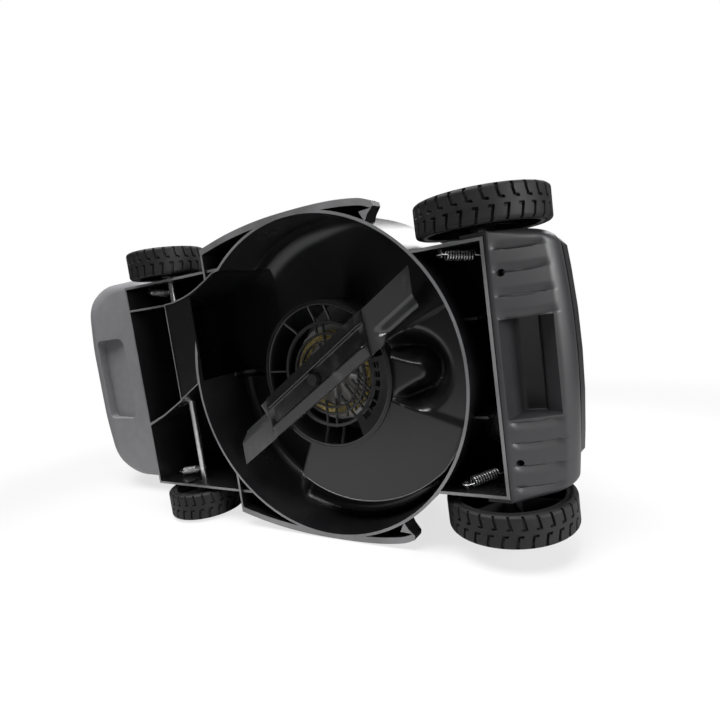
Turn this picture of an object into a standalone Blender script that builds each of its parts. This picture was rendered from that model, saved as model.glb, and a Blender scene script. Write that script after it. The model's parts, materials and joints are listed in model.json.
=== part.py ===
"""Electric lawn mower, modelled in metres with +X forward, +Y to its left and +Z up.

The pieces are placed from the centre of the blade chamber's rim. The empty that carries them puts the
ground at Z = 0 and the middle of the mower's length and width over the origin.
"""
import math

import bpy
import bmesh
from mathutils import Vector

# Clearances
GAP = 0.0003            # between pieces that rest on each other
BORE_GAP = 0.0003       # round a shaft or bolt in its hole
CUT_PAST = 0.022        # cutters reach this far past the deck's sides
WALL = 0.003            # moulded walls of the deck and covers

# Blade chamber, with heights above its rim
CHAMBER_R = 0.175
DRUM_R = CHAMBER_R + WALL
DECK_TOP = 0.112
PLATEAU_H = 0.028
GROOVE_H = 0.058
POCKET_H = 0.060
NOSE_H = 0.031
RAMP_LOW_H = 0.034
TUNNEL_H = 0.085
CEILING_WALL = 0.004
CEILING_FILLET = 0.010
SLEEVE_BORE = 0.0825    # round tube in the ceiling that holds the motor
SLEEVE_BOTTOM_H = 0.026
SLEEVE_TOP_H = 0.099
LEDGE_REAR_INSET = 0.046     # the plateau's edge winds outwards from rear to front
LEDGE_REAR_R = CHAMBER_R - LEDGE_REAR_INSET
LEDGE_FRONT_INSET = 0.006
LEDGE_FRONT_R = CHAMBER_R - LEDGE_FRONT_INSET
NOSE_INSET = 0.048      # from the chamber's wall to the middle of the nose's end
NOSE_SLOPE = 0.007

# Front and rear bays of the deck, which reach out from the drum
FRONT_BAY = 0.0258
FRONT_WALL_X = DRUM_R + FRONT_BAY
FRONT_DRAW = 0.061      # how much narrower than the drum the bays are
FRONT_HALF = DRUM_R - FRONT_DRAW
REAR_BAY = 0.120
REAR_WALL_X = -DRUM_R - REAR_BAY
REAR_DRAW = 0.039
REAR_HALF = DRUM_R - REAR_DRAW
FRONT_ROOT_X = math.sqrt(CHAMBER_R ** 2 - FRONT_HALF ** 2)   # where the bays' walls leave the drum
REAR_ROOT_X = -math.sqrt(CHAMBER_R ** 2 - REAR_HALF ** 2)
ROOT_DEPTH = 0.006
REAR_EDGE_H = 0.004     # lower edge of the rear bay's walls
RIB_WALL = 0.0025
RIB_ROOT = 0.028

# Discharge tunnel
TUNNEL_INSET = 0.070     # from the drum's right edge to the tunnel's right wall
TUNNEL_RIGHT = TUNNEL_INSET - DRUM_R
TUNNEL_START = -125.9   # angle at which the right wall leaves the drum
TUNNEL_START_INSET = 0.0076
TUNNEL_BEND = ((0.137, 0.017), (0.342, 0.383), (0.556, 0.717), (0.769, 0.917))
TUNNEL_LEFT_FRONT = 0.019
TUNNEL_LEFT_REAR = 0.056
PLATE_INSET = 0.008      # slanted plate at the drum's rear edge
PLATE_FRONT_X = PLATE_INSET - DRUM_R
PLATE_REACH = 0.047
PLATE_REAR_X = PLATE_FRONT_X - PLATE_REACH
TUNNEL_FLOOR_H = 0.062
TUNNEL_ROOF_REAR_H = 0.105

# Side combs
COMB_TOP_H = 0.050
COMB_TIP_H = 0.012
COMB_SLOPE_X = 0.020    # the combs' roof slopes down from here to their tips
COMB_LIP = 0.007
COMB_REAR_INSET = 0.041
COMB_REAR_X = COMB_REAR_INSET - DRUM_R
COMB_REACH = 0.0025     # beyond the drum, at the widest place
COMB_WIDE_HALF = DRUM_R + COMB_REACH
COMB_REAR_DRAW = 0.017
COMB_REAR_HALF = COMB_WIDE_HALF - COMB_REAR_DRAW
COMB_TIP_INSET = 0.076
COMB_TIP_X = DRUM_R - COMB_TIP_INSET
COMB_TIP_DRAW = 0.0115
COMB_TIP_HALF = COMB_WIDE_HALF - COMB_TIP_DRAW

# Axles and wheels
RIM_CLEARANCE = 0.0184  # rim above the ground at the lowest cut
AXLE_R = 0.004
AXLE_TRAVEL = 0.020
CUT_HEIGHTS = 3
NOTCH_SHIFT = 0.0025
FRONT_AXLE_OUT = 0.0133  # axles in front of and behind the drum
FRONT_AXLE_X = DRUM_R + FRONT_AXLE_OUT
FRONT_WHEEL_R = 0.0622
FRONT_TRACK_GAP = 0.0088
FRONT_TRACK_IN = FRONT_HALF + FRONT_TRACK_GAP
FRONT_TYRE_WIDTH = 0.0312
REAR_AXLE_OUT = 0.0568
REAR_AXLE_X = -DRUM_R - REAR_AXLE_OUT
REAR_WHEEL_R = 0.0496
REAR_TRACK_GAP = 0.0053
REAR_TRACK_IN = REAR_HALF + REAR_TRACK_GAP
REAR_TYRE_WIDTH = 0.0343
TYRE_THICKNESS = 0.007
TREAD_DEPTH = 0.0028
TREAD_BLOCKS = 10
HUB_R = 0.011
WHEEL_WEB = 0.003
AXLE_HEAD = 0.0025

# Tension springs of the axles
SPRING_WIRE_R = 0.0008
SPRING_COIL_R = 0.0047
SPRING_CURLS = 7
SPRING_COIL_SHARE = 0.62
SPRING_PEG_R = 0.0025
FRONT_PEG_BACK = 0.0305 # pegs behind and below their axle
FRONT_PEG_DOWN = 0.0345
REAR_PEG_BACK = 0.045
FRONT_PEG_INSET = 0.0055
REAR_PEG_INSET = 0.006
FRONT_HOOK_INSET = 0.0135    # hooks on the axles, from the bays' outer faces
FRONT_HOOK_Y = FRONT_HALF - FRONT_HOOK_INSET
REAR_HOOK_INSET = 0.0165
REAR_HOOK_Y = REAR_HALF - REAR_HOOK_INSET
POINTS_A_CURL = 8

# Blade and its drive
BLADE_TIP_GAP = 0.0115
BLADE_LENGTH = 2 * (CHAMBER_R - BLADE_TIP_GAP)
BLADE_WIDTH = 0.043
BLADE_THICK = 0.003
BLADE_H = 0.010         # underside of the blade
BLADE_ANGLE = -32.0     # as the photograph shows it stopped
BLADE_SLANT = 0.026
BLADE_BEVEL = 0.007
BLADE_FLAT = 0.024      # from the cutting edge to the sail's bend
SAIL_WIDTH = 0.0105     # in plan
SAIL_RISE = 0.011
CARRIER_LENGTH = 0.170
CARRIER_WIDTH = BLADE_WIDTH
CARRIER_SLANT = 0.48    # slant of the carrier's ends, for each unit of width
CARRIER_DEPTH = 0.006   # of the channel along its middle
CARRIER_DRAW = 0.0015   # depth of its outer edges
CARRIER_WALL = 0.0025
CHANNEL_HALF = 0.0085   # half width of the channel's floor
CHANNEL_FLARE = 0.001
BOLT_R = 0.004
BOLT_HEAD_R = 0.0070
BOLT_HEAD_H = 0.0035
WASHER_R = 0.0078
WASHER_THICK = 0.001
SHAFT_R = 0.0065
SHAFT_TOP_H = 0.112
BOSS_R = 0.017
BOSS_HEIGHT = 0.0105

# Motor
STATOR_R = 0.056
STATOR_BORE = 0.0392
STATOR_LOW_H = 0.050
STATOR_HEIGHT = 0.036
ROTOR_R = 0.0385
WINDING_R = 0.050
WINDING_HEIGHT = 0.007
FAN_R = 0.037
FAN_BLADES = 9
BEARING_R = 0.013
BEARING_HEIGHT = 0.008
CAPACITOR_R = 0.016
CAPACITOR_LENGTH = 0.048
CAPACITOR_INSET = 0.054
CAPACITOR_ANGLE = 150.0
GRILLE_THICK = 0.004
GRILLE_RING = 0.003
GRILLE_HOOPS = (0.048, 0.061)
GRILLE_RIBS = 8
BRACKET_THICK = 0.003

# Upper cover
COVER_RISE = 0.072
COVER_FRONT_RISE = 0.024
COVER_REAR_RISE = 0.040
COVER_LIP = 0.003       # overhang past the top of the bumper

# Front bumper: a foot at the deck's front wall, a sloping underside and a rounded prow
BUMPER_FOOT = 0.0024
BUMPER_FOOT_X = FRONT_WALL_X + BUMPER_FOOT
BUMPER_FOOT_H = 0.001
PROW_REACH = 0.058      # in front of the foot, in the middle
PROW_BOW = 0.0075       # how much less it is at the sides
PROW_H = 0.045          # foremost line of the prow
PROW_BACK = 0.0095      # how far the face leans back from there to its top
UNDER_SHARE = 0.85      # part of the reach that the underside takes
UNDER_TOP_H = 0.027
CORNER_WIDTH = 0.016    # rounding of the prow's corners, across and along
CORNER_LENGTH = 0.030
FOOT_CORNER = 0.0015
BUMPER_SIDE = 0.0035
BUMPER_RETURN = 0.0205  # how far its sides reach back past the deck's front wall
BUMPER_SKIN = 0.0046
UNDER_SKIN = 0.0085     # along X, where the wall slopes
GROOVE_DEPTH = 0.003    # along X too
GROOVE_HALF = 0.0017
GROOVE_INSETS = (0.070, 0.051, 0.030, 0.0105)
GROOVE_Y = tuple(FRONT_HALF - inset for inset in GROOVE_INSETS)
RECESS_HALF = 0.0445
RECESS_FOOT = 0.0025    # from the bumper's foot to the hand recess
RECESS_DEPTH_H = 0.045
RECESS_REACH = 0.044
SCREW_INSET = 0.0325
SCREW_Y = FRONT_HALF - SCREW_INSET
SCREW_OUT = 0.008       # in front of the bumper's foot
SCREW_X = BUMPER_FOOT_X + SCREW_OUT
SCREW_R = 0.002
SCREW_HEAD_R = 0.003
SCREW_HEAD_H = 0.0022
LUG_H = 0.026           # lugs on the deck that the bumper's screws go up into
LUG_THICK = 0.008
LUG_HALF = 0.006

# Grass collector
COLLECTOR_GAP = 0.0045   # behind the deck's rear wall
COLLECTOR_FRONT_X = REAR_WALL_X - COLLECTOR_GAP
COLLECTOR_LENGTH = 0.2725
COLLECTOR_REAR_X = COLLECTOR_FRONT_X - COLLECTOR_LENGTH
COLLECTOR_OVERHANG = 0.091
COLLECTOR_FLOOR_REAR_X = COLLECTOR_REAR_X + COLLECTOR_OVERHANG
COLLECTOR_FLOOR_HALF = 0.152
COLLECTOR_FLARE = 0.011
COLLECTOR_HALF = COLLECTOR_FLOOR_HALF + COLLECTOR_FLARE
COLLECTOR_LOW_H = 0.058
COLLECTOR_SPLIT_H = 0.140
COLLECTOR_TOP_H = 0.230
COLLECTOR_SLOPE = 33.0
COLLECTOR_WALL = 0.0025

# Rear flap
FLAP_LENGTH = 0.092
FLAP_HALF = 0.1095
FLAP_THICK = 0.003
FLAP_PIN_R = 0.002
FLAP_SLEEVE_R = 0.005
FLAP_HINGE_INSET = 0.002
FLAP_HINGE_X = REAR_WALL_X + FLAP_HINGE_INSET
FLAP_SPRING_WIRE_R = 0.0006
FLAP_SPRING_CURLS = 3

# Handle, folded forward over the cover
TUBE_R = 0.010
PIVOT_AHEAD = 0.0198     # of the rear axle
PIVOT_X = REAR_AXLE_X + PIVOT_AHEAD
PIVOT_H = 0.205
LOWER_LENGTH = 0.380
FOLD_X = PIVOT_X + LOWER_LENGTH
BRACKET_WIDTH = 0.034
BRACKET_LOW_H = 0.086
STUD_R = 0.003
KNOB_R = 0.014
KNOB_THICK = 0.013
UPPER_LENGTH = 0.555
LOOP_REAR_X = FOLD_X - UPPER_LENGTH
LOOP_RISE = 0.050
LOOP_BEND = 0.045
GRIP_R = 0.014
BAIL_R = 0.0035
BAIL_REACH = 0.072
BAIL_ANGLE = 28.0
BAIL_FROM_BAR = 0.100
HOUSING_HALF = 0.042
HOUSING_LENGTH = 0.044
HOUSING_HEIGHT = 0.042
BUTTON_R = 0.007
BUTTON_TRAVEL = 0.003

# Positions that follow
SLEEVE_R = SLEEVE_BORE + WALL
FRONT_AXLE_H = FRONT_WHEEL_R - RIM_CLEARANCE
REAR_AXLE_H = REAR_WHEEL_R - RIM_CLEARANCE
FRONT_PEG = (FRONT_AXLE_X - FRONT_PEG_BACK, FRONT_HALF - WALL - FRONT_PEG_INSET, FRONT_AXLE_H - FRONT_PEG_DOWN)
REAR_PEG = (REAR_AXLE_X - REAR_PEG_BACK, REAR_HALF - WALL - REAR_PEG_INSET, REAR_AXLE_H)
BUMPER_TOP_H = DECK_TOP - GAP
CUT_REACH = DRUM_R + CUT_PAST
LIP_X = BUMPER_FOOT_X + PROW_REACH - PROW_BACK * (BUMPER_TOP_H - PROW_H) / (DECK_TOP - PROW_H) + COVER_LIP
FRONT_END_X = max(FRONT_AXLE_X + FRONT_WHEEL_R, LIP_X, BUMPER_FOOT_X + PROW_REACH)
ORIGIN_X = -(FRONT_END_X + COLLECTOR_REAR_X) / 2
BRACKET_Y = REAR_HALF + GAP
LOWER_TUBE_Y = BRACKET_Y - GAP - TUBE_R
UPPER_TUBE_Y = LOWER_TUBE_Y + 2 * TUBE_R + GAP

BLACK_GLOSS = ((0.012, 0.012, 0.013), 0.22, 0.0)
BLACK_MATTE = ((0.028, 0.028, 0.030), 0.60, 0.0)
GREY_MATTE = ((0.075, 0.076, 0.080), 0.65, 0.0)
TYRE_BLACK = ((0.035, 0.035, 0.037), 0.75, 0.0)
STEEL = ((0.55, 0.55, 0.56), 0.30, 1.0)
PAINTED = ((0.03, 0.03, 0.032), 0.35, 0.4)
COPPER = ((0.62, 0.42, 0.12), 0.35, 1.0)
LAMINATION = ((0.35, 0.34, 0.33), 0.45, 1.0)
RED = ((0.45, 0.03, 0.02), 0.40, 0.0)
FOAM = ((0.02, 0.02, 0.02), 0.90, 0.0)

for old in list(bpy.data.objects):
    bpy.data.objects.remove(old)

frame = bpy.data.objects.new("chamber_rim", None)
frame.location = (ORIGIN_X, 0.0, RIM_CLEARANCE)
bpy.context.scene.collection.objects.link(frame)


def piece(name, verts, faces, at=(0.0, 0.0, 0.0)):
    """Makes an object from vertices given in the rim's frame, with its origin at the point at."""
    mesh = bpy.data.meshes.new(name)
    base = Vector(at)
    mesh.from_pydata([Vector(v) - base for v in verts], [], faces)
    shaper = bmesh.new()
    shaper.from_mesh(mesh)
    bmesh.ops.recalc_face_normals(shaper, faces=shaper.faces)
    shaper.to_mesh(mesh)
    shaper.free()
    obj = bpy.data.objects.new(name, mesh)
    obj.location = base
    bpy.context.scene.collection.objects.link(obj)
    obj.parent = frame
    return obj


def finish(obj, look, smooth=30.0):
    """Gives an object its own material and shades it smooth up to an angle."""
    color, roughness, metallic = look
    made = bpy.data.materials.new(obj.name)
    made.use_nodes = True
    shader = made.node_tree.nodes["Principled BSDF"]
    shader.inputs["Base Color"].default_value = (*color, 1.0)
    shader.inputs["Roughness"].default_value = roughness
    shader.inputs["Metallic"].default_value = metallic
    obj.data.materials.clear()
    obj.data.materials.append(made)
    if obj.type == "MESH":
        obj.data.shade_smooth()
        obj.data.set_sharp_from_angle(angle=math.radians(smooth))
    return obj


def as_mesh(obj):
    """Turns a curve object into a mesh object with the same name and place."""
    bpy.context.view_layer.update()
    mesh = bpy.data.meshes.new_from_object(obj.evaluated_get(bpy.context.evaluated_depsgraph_get()))
    name, place = obj.name, obj.location.copy()
    bpy.data.objects.remove(obj)
    solid = bpy.data.objects.new(name, mesh)
    solid.location = place
    bpy.context.scene.collection.objects.link(solid)
    solid.parent = frame
    return solid


def boolean(target, other, operation="DIFFERENCE"):
    """Applies one Boolean to target and removes the other object."""
    cutter = target.modifiers.new("boolean", "BOOLEAN")
    cutter.operation = operation
    cutter.object = other
    bpy.context.view_layer.update()
    evaluated = target.evaluated_get(bpy.context.evaluated_depsgraph_get())
    mesh = bpy.data.meshes.new_from_object(evaluated)
    target.modifiers.clear()
    target.data = mesh
    bpy.data.objects.remove(other)
    return target


def along(axis, r, angle, length):
    """Point at radius r and an angle round an axis, a length along it."""
    a, b = r * math.cos(angle), r * math.sin(angle)
    return {"Z": (a, b, length), "Y": (b, length, a), "X": (length, a, b)}[axis]


def revolve(name, profile, columns, axis="Z", at=(0.0, 0.0, 0.0)):
    """Turns a closed profile of (radius, length) about an axis through at. Radius 0 makes a pole."""
    verts = []
    rings = []
    for r, length in profile:
        if r == 0.0:
            rings.append([len(verts)] * columns)
            verts.append(along(axis, 0.0, 0.0, length))
            continue
        rings.append([len(verts) + k for k in range(columns)])
        verts += [along(axis, r, math.tau * k / columns, length) for k in range(columns)]
    faces = []
    for i, ring in enumerate(rings):
        after = rings[(i + 1) % len(rings)]
        if profile[i][0] == 0.0 and profile[(i + 1) % len(rings)][0] == 0.0:
            continue
        for k in range(columns):
            n = (k + 1) % columns
            face = [ring[k], ring[n], after[n], after[k]]
            faces.append(list(dict.fromkeys(face)))
    return piece(name, [Vector(at) + Vector(v) for v in verts], faces, at)


def rod(name, r, start, end, columns, axis="Z", at=(0.0, 0.0, 0.0)):
    """Solid cylinder between two lengths along an axis through at."""
    return revolve(name, [(0.0, start), (r, start), (r, end), (0.0, end)], columns, axis, at)


def ring(name, outer, inner, start, end, columns, axis="Z", at=(0.0, 0.0, 0.0)):
    """Hollow cylinder between two lengths along an axis through at."""
    return revolve(name, [(inner, start), (outer, start), (outer, end), (inner, end)], columns, axis, at)


def prism(name, outline, low, high, axis="Z", at=(0.0, 0.0, 0.0)):
    """Extrudes a closed outline along an axis. The outline is (x, y) along Z and (x, z) along Y."""
    place = {"Z": lambda p, d: (p[0], p[1], d), "Y": lambda p, d: (p[0], d, p[1])}[axis]
    count = len(outline)
    verts = [place(p, low) for p in outline] + [place(p, high) for p in outline]
    faces = [list(range(count)), list(range(count, 2 * count))]
    faces += [[k, (k + 1) % count, count + (k + 1) % count, count + k] for k in range(count)]
    return piece(name, verts, faces, at)


def box(name, low, high, at=(0.0, 0.0, 0.0)):
    """Block between two corners."""
    outline = [(low[0], low[1]), (high[0], low[1]), (high[0], high[1]), (low[0], high[1])]
    return prism(name, outline, low[2], high[2], at=at)


def loft(name, rings, at=(0.0, 0.0, 0.0)):
    """Skins a list of rings that have the same number of points, and closes both ends."""
    count = len(rings[0])
    verts = [p for loop in rings for p in loop]
    faces = [list(range(count)), list(range(len(verts) - count, len(verts)))]
    for i in range(len(rings) - 1):
        low, high = i * count, (i + 1) * count
        faces += [[low + k, low + (k + 1) % count, high + (k + 1) % count, high + k] for k in range(count)]
    return piece(name, verts, faces, at)


def wire(name, points, radius, resolution, at=(0.0, 0.0, 0.0)):
    """Round bar along points, as a curve with filled caps."""
    curve = bpy.data.curves.new(name, "CURVE")
    curve.dimensions = "3D"
    curve.bevel_depth = radius
    curve.bevel_resolution = resolution
    curve.use_fill_caps = True
    spline = curve.splines.new("POLY")
    spline.points.add(len(points) - 1)
    for slot, point in zip(spline.points, points):
        slot.co = (*(Vector(point) - Vector(at)), 1.0)
    obj = bpy.data.objects.new(name, curve)
    obj.location = at
    bpy.context.scene.collection.objects.link(obj)
    obj.parent = frame
    return obj


def smoothstep(low, high, value):
    """0 below low, 1 above high, and smooth between."""
    t = min(1.0, max(0.0, (value - low) / (high - low)))
    return t * t * (3.0 - 2.0 * t)


def mix(a, b, t):
    """Value between a and b."""
    return a + (b - a) * t


def arc(radius, first, last, steps):
    """Points on a circle round the chamber's axis, angles in degrees."""
    angles = [math.radians(mix(first, last, k / steps)) for k in range(steps + 1)]
    return [(radius * math.cos(a), radius * math.sin(a)) for a in angles]


def ceiling(r, angle):
    """Height of the chamber's ceiling at a radius and an angle in degrees from +X towards +Y."""
    height = TUNNEL_H
    ledge = mix(LEDGE_FRONT_R, LEDGE_REAR_R, min(1.0, max(0.0, (angle - 41.0) / 77.0)))
    ledge += 0.004 * (1.0 - smoothstep(20.0, 41.0, angle))
    plateau = mix(PLATEAU_H, GROOVE_H, smoothstep(ledge - 0.004, ledge + 0.006, r))
    height = mix(height, plateau, smoothstep(10.0, 16.0, angle) * (1.0 - smoothstep(114.0, 124.0, angle)))
    if -96.0 < angle < 16.0:
        ramp = mix(RAMP_LOW_H, TUNNEL_H, smoothstep(-25.0, -96.0, angle) if angle > -96.0 else 1.0)
        ramp = mix(TUNNEL_H, RAMP_LOW_H, smoothstep(-96.0, -25.0, angle))
        nose_end = CHAMBER_R - NOSE_INSET
        nose = 1.0 - smoothstep(nose_end - NOSE_SLOPE, nose_end + NOSE_SLOPE, r)
        nose *= 1.0 - smoothstep(9.0, 14.0, abs(angle + 3.0))
        pocket = mix(POCKET_H, NOSE_H, nose)
        low = mix(ramp, pocket, smoothstep(-25.0, -21.0, angle))
        height = mix(low, height, smoothstep(10.0, 16.0, angle))
    over = max(0.0, r - (CHAMBER_R - CEILING_FILLET)) / CEILING_FILLET
    return height - CEILING_FILLET * (1.0 - math.sqrt(max(0.0, 1.0 - over * over)))


def polar_solid(name, stations, columns, bottom):
    """Round solid with a flat bottom. A station is a radius and its height, a number or a function."""
    step = 360.0 / columns
    turns = [-180.0 + step * k for k in range(columns)]
    verts = []
    for level in ("bottom", "top"):
        for r, height in stations:
            for turn in turns:
                z = bottom if level == "bottom" else (height(r, turn) if callable(height) else height)
                verts.append((r * math.cos(math.radians(turn)), r * math.sin(math.radians(turn)), z))
    rows = len(stations)

    def corner(level, row, column):
        return (level * rows + row) * columns + column % columns

    faces = [[corner(1, 0, k) for k in range(columns)], [corner(0, rows - 1, k) for k in range(columns)]]
    for k in range(columns):
        faces.append([corner(0, rows - 1, k), corner(0, rows - 1, k + 1), corner(1, rows - 1, k + 1),
                      corner(1, rows - 1, k)])
        for row in range(rows - 1):
            faces.append([corner(1, row, k), corner(1, row, k + 1), corner(1, row + 1, k + 1),
                          corner(1, row + 1, k)])
    used = sorted({i for face in faces for i in face})
    places = {old: new for new, old in enumerate(used)}
    return piece(name, [verts[i] for i in used], [[places[i] for i in face] for face in faces])


def chamber_solids(columns, rows):
    """The drum's outer body and the space inside it."""
    first, last = SLEEVE_R + 0.0002, CHAMBER_R - 0.0002
    radii = [mix(first, last, k / rows) for k in range(rows + 1)]
    reach = (last - first) / rows

    def outside(r, angle):
        near = [ceiling(min(CHAMBER_R, max(SLEEVE_R, r + step)), angle) for step in (-reach, 0.0, reach)]
        return max(near) + CEILING_WALL

    outer = [(SLEEVE_R, SLEEVE_TOP_H)] + [(r, outside) for r in radii[:-1:2]]
    outer += [(last, DECK_TOP), (DRUM_R, DECK_TOP)]
    inner = [(SLEEVE_R, SLEEVE_BOTTOM_H)] + [(r, ceiling) for r in radii] + [(CHAMBER_R, ceiling)]
    return polar_solid("drum", outer, columns, 0.0), polar_solid("chamber", inner, columns, -0.002)


def tunnel_outline(inset):
    """Plan of the discharge tunnel, drawn in by the inset."""
    turn = math.radians(TUNNEL_START)
    start_r = DRUM_R - TUNNEL_START_INSET
    start_x, start_y = start_r * math.cos(turn), start_r * math.sin(turn)
    right = [(start_x, start_y)]
    right += [(mix(start_x, PLATE_REAR_X, a), mix(start_y, TUNNEL_RIGHT, b)) for a, b in TUNNEL_BEND]
    right += [(PLATE_REAR_X, TUNNEL_RIGHT), (REAR_WALL_X, TUNNEL_RIGHT)]
    left = [(REAR_WALL_X, TUNNEL_LEFT_REAR),
            (mix(PLATE_REAR_X, REAR_WALL_X, 0.5556), mix(TUNNEL_LEFT_FRONT, TUNNEL_LEFT_REAR, 0.6)),
            (PLATE_REAR_X, TUNNEL_LEFT_FRONT), (-DRUM_R, -0.002), (start_x, -0.002)]
    overrun = 0.004 if inset else 0.0
    drawn = [(x - (overrun if x == REAR_WALL_X else 0.0), y + inset) for x, y in right]
    return drawn + [(x - (overrun if x == REAR_WALL_X else 0.0), y - inset) for x, y in left]


def comb_outline(side, inset):
    """Plan of one side comb, from its rear rib round its hooked tip and back along the drum."""
    edge = [(COMB_REAR_X, COMB_REAR_HALF)]
    for share, draw in ((0.1822, COMB_REAR_DRAW * 0.44), (0.3684, 0.0018), (0.5547, 0.0), (0.7571, 0.001),
                        (0.9028, COMB_TIP_DRAW * 0.48)):
        edge.append((mix(COMB_REAR_X, COMB_TIP_X, share), COMB_WIDE_HALF - draw))
    tip = [(COMB_TIP_X, COMB_TIP_HALF), (COMB_TIP_X + 0.001, COMB_TIP_HALF - 0.0045),
           (COMB_TIP_X - 0.006, COMB_TIP_HALF - 0.011), (COMB_TIP_X - 0.010, COMB_TIP_HALF - 0.018)]
    back_r, rear = DRUM_R - WALL / 2, COMB_REAR_X
    if inset:
        back_r, rear = DRUM_R - COMB_LIP, COMB_REAR_X + WALL
        edge = [(x + (WALL if x == COMB_REAR_X else 0.0), y - inset) for x, y in edge]
        tip = [(COMB_TIP_X - 2.2 * inset, COMB_TIP_HALF - inset)]
    back = arc(back_r, 55.0, math.degrees(math.acos(rear / back_r)), 16)
    return [(x, side * y) for x, y in edge + tip + back]


def comb_solid(name, side, inset):
    """One comb, or the pocket inside it, under its sloping roof."""
    drop = WALL if inset else 0.0
    low = -0.01 if inset else 0.0
    solid = prism(name, comb_outline(side, inset), low, COMB_TOP_H)
    roof = [(COMB_REAR_X - 0.01, low), (COMB_TIP_X + 0.01, low), (COMB_TIP_X + 0.01, COMB_TIP_H - drop),
            (COMB_SLOPE_X, COMB_TOP_H - drop), (COMB_REAR_X - 0.01, COMB_TOP_H - drop)]
    return boolean(solid, prism("roof", roof, -CUT_REACH, CUT_REACH, "Y"), "INTERSECT")


def axle_slot(x, height):
    """Cutter of one axle's slot, with its notches behind it."""
    slot = AXLE_R + BORE_GAP
    outline = [(x + slot, height - AXLE_TRAVEL - slot), (x + slot, height + slot)]
    for k in range(CUT_HEIGHTS):
        level = height - AXLE_TRAVEL * k / (CUT_HEIGHTS - 1)
        outline += [(x - slot, level + slot), (x - slot - NOTCH_SHIFT, level + slot * 0.6),
                    (x - slot - NOTCH_SHIFT, level - slot * 0.6), (x - slot, level - slot)]
    return prism("slot", outline, -CUT_REACH, CUT_REACH, "Y")


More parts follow.
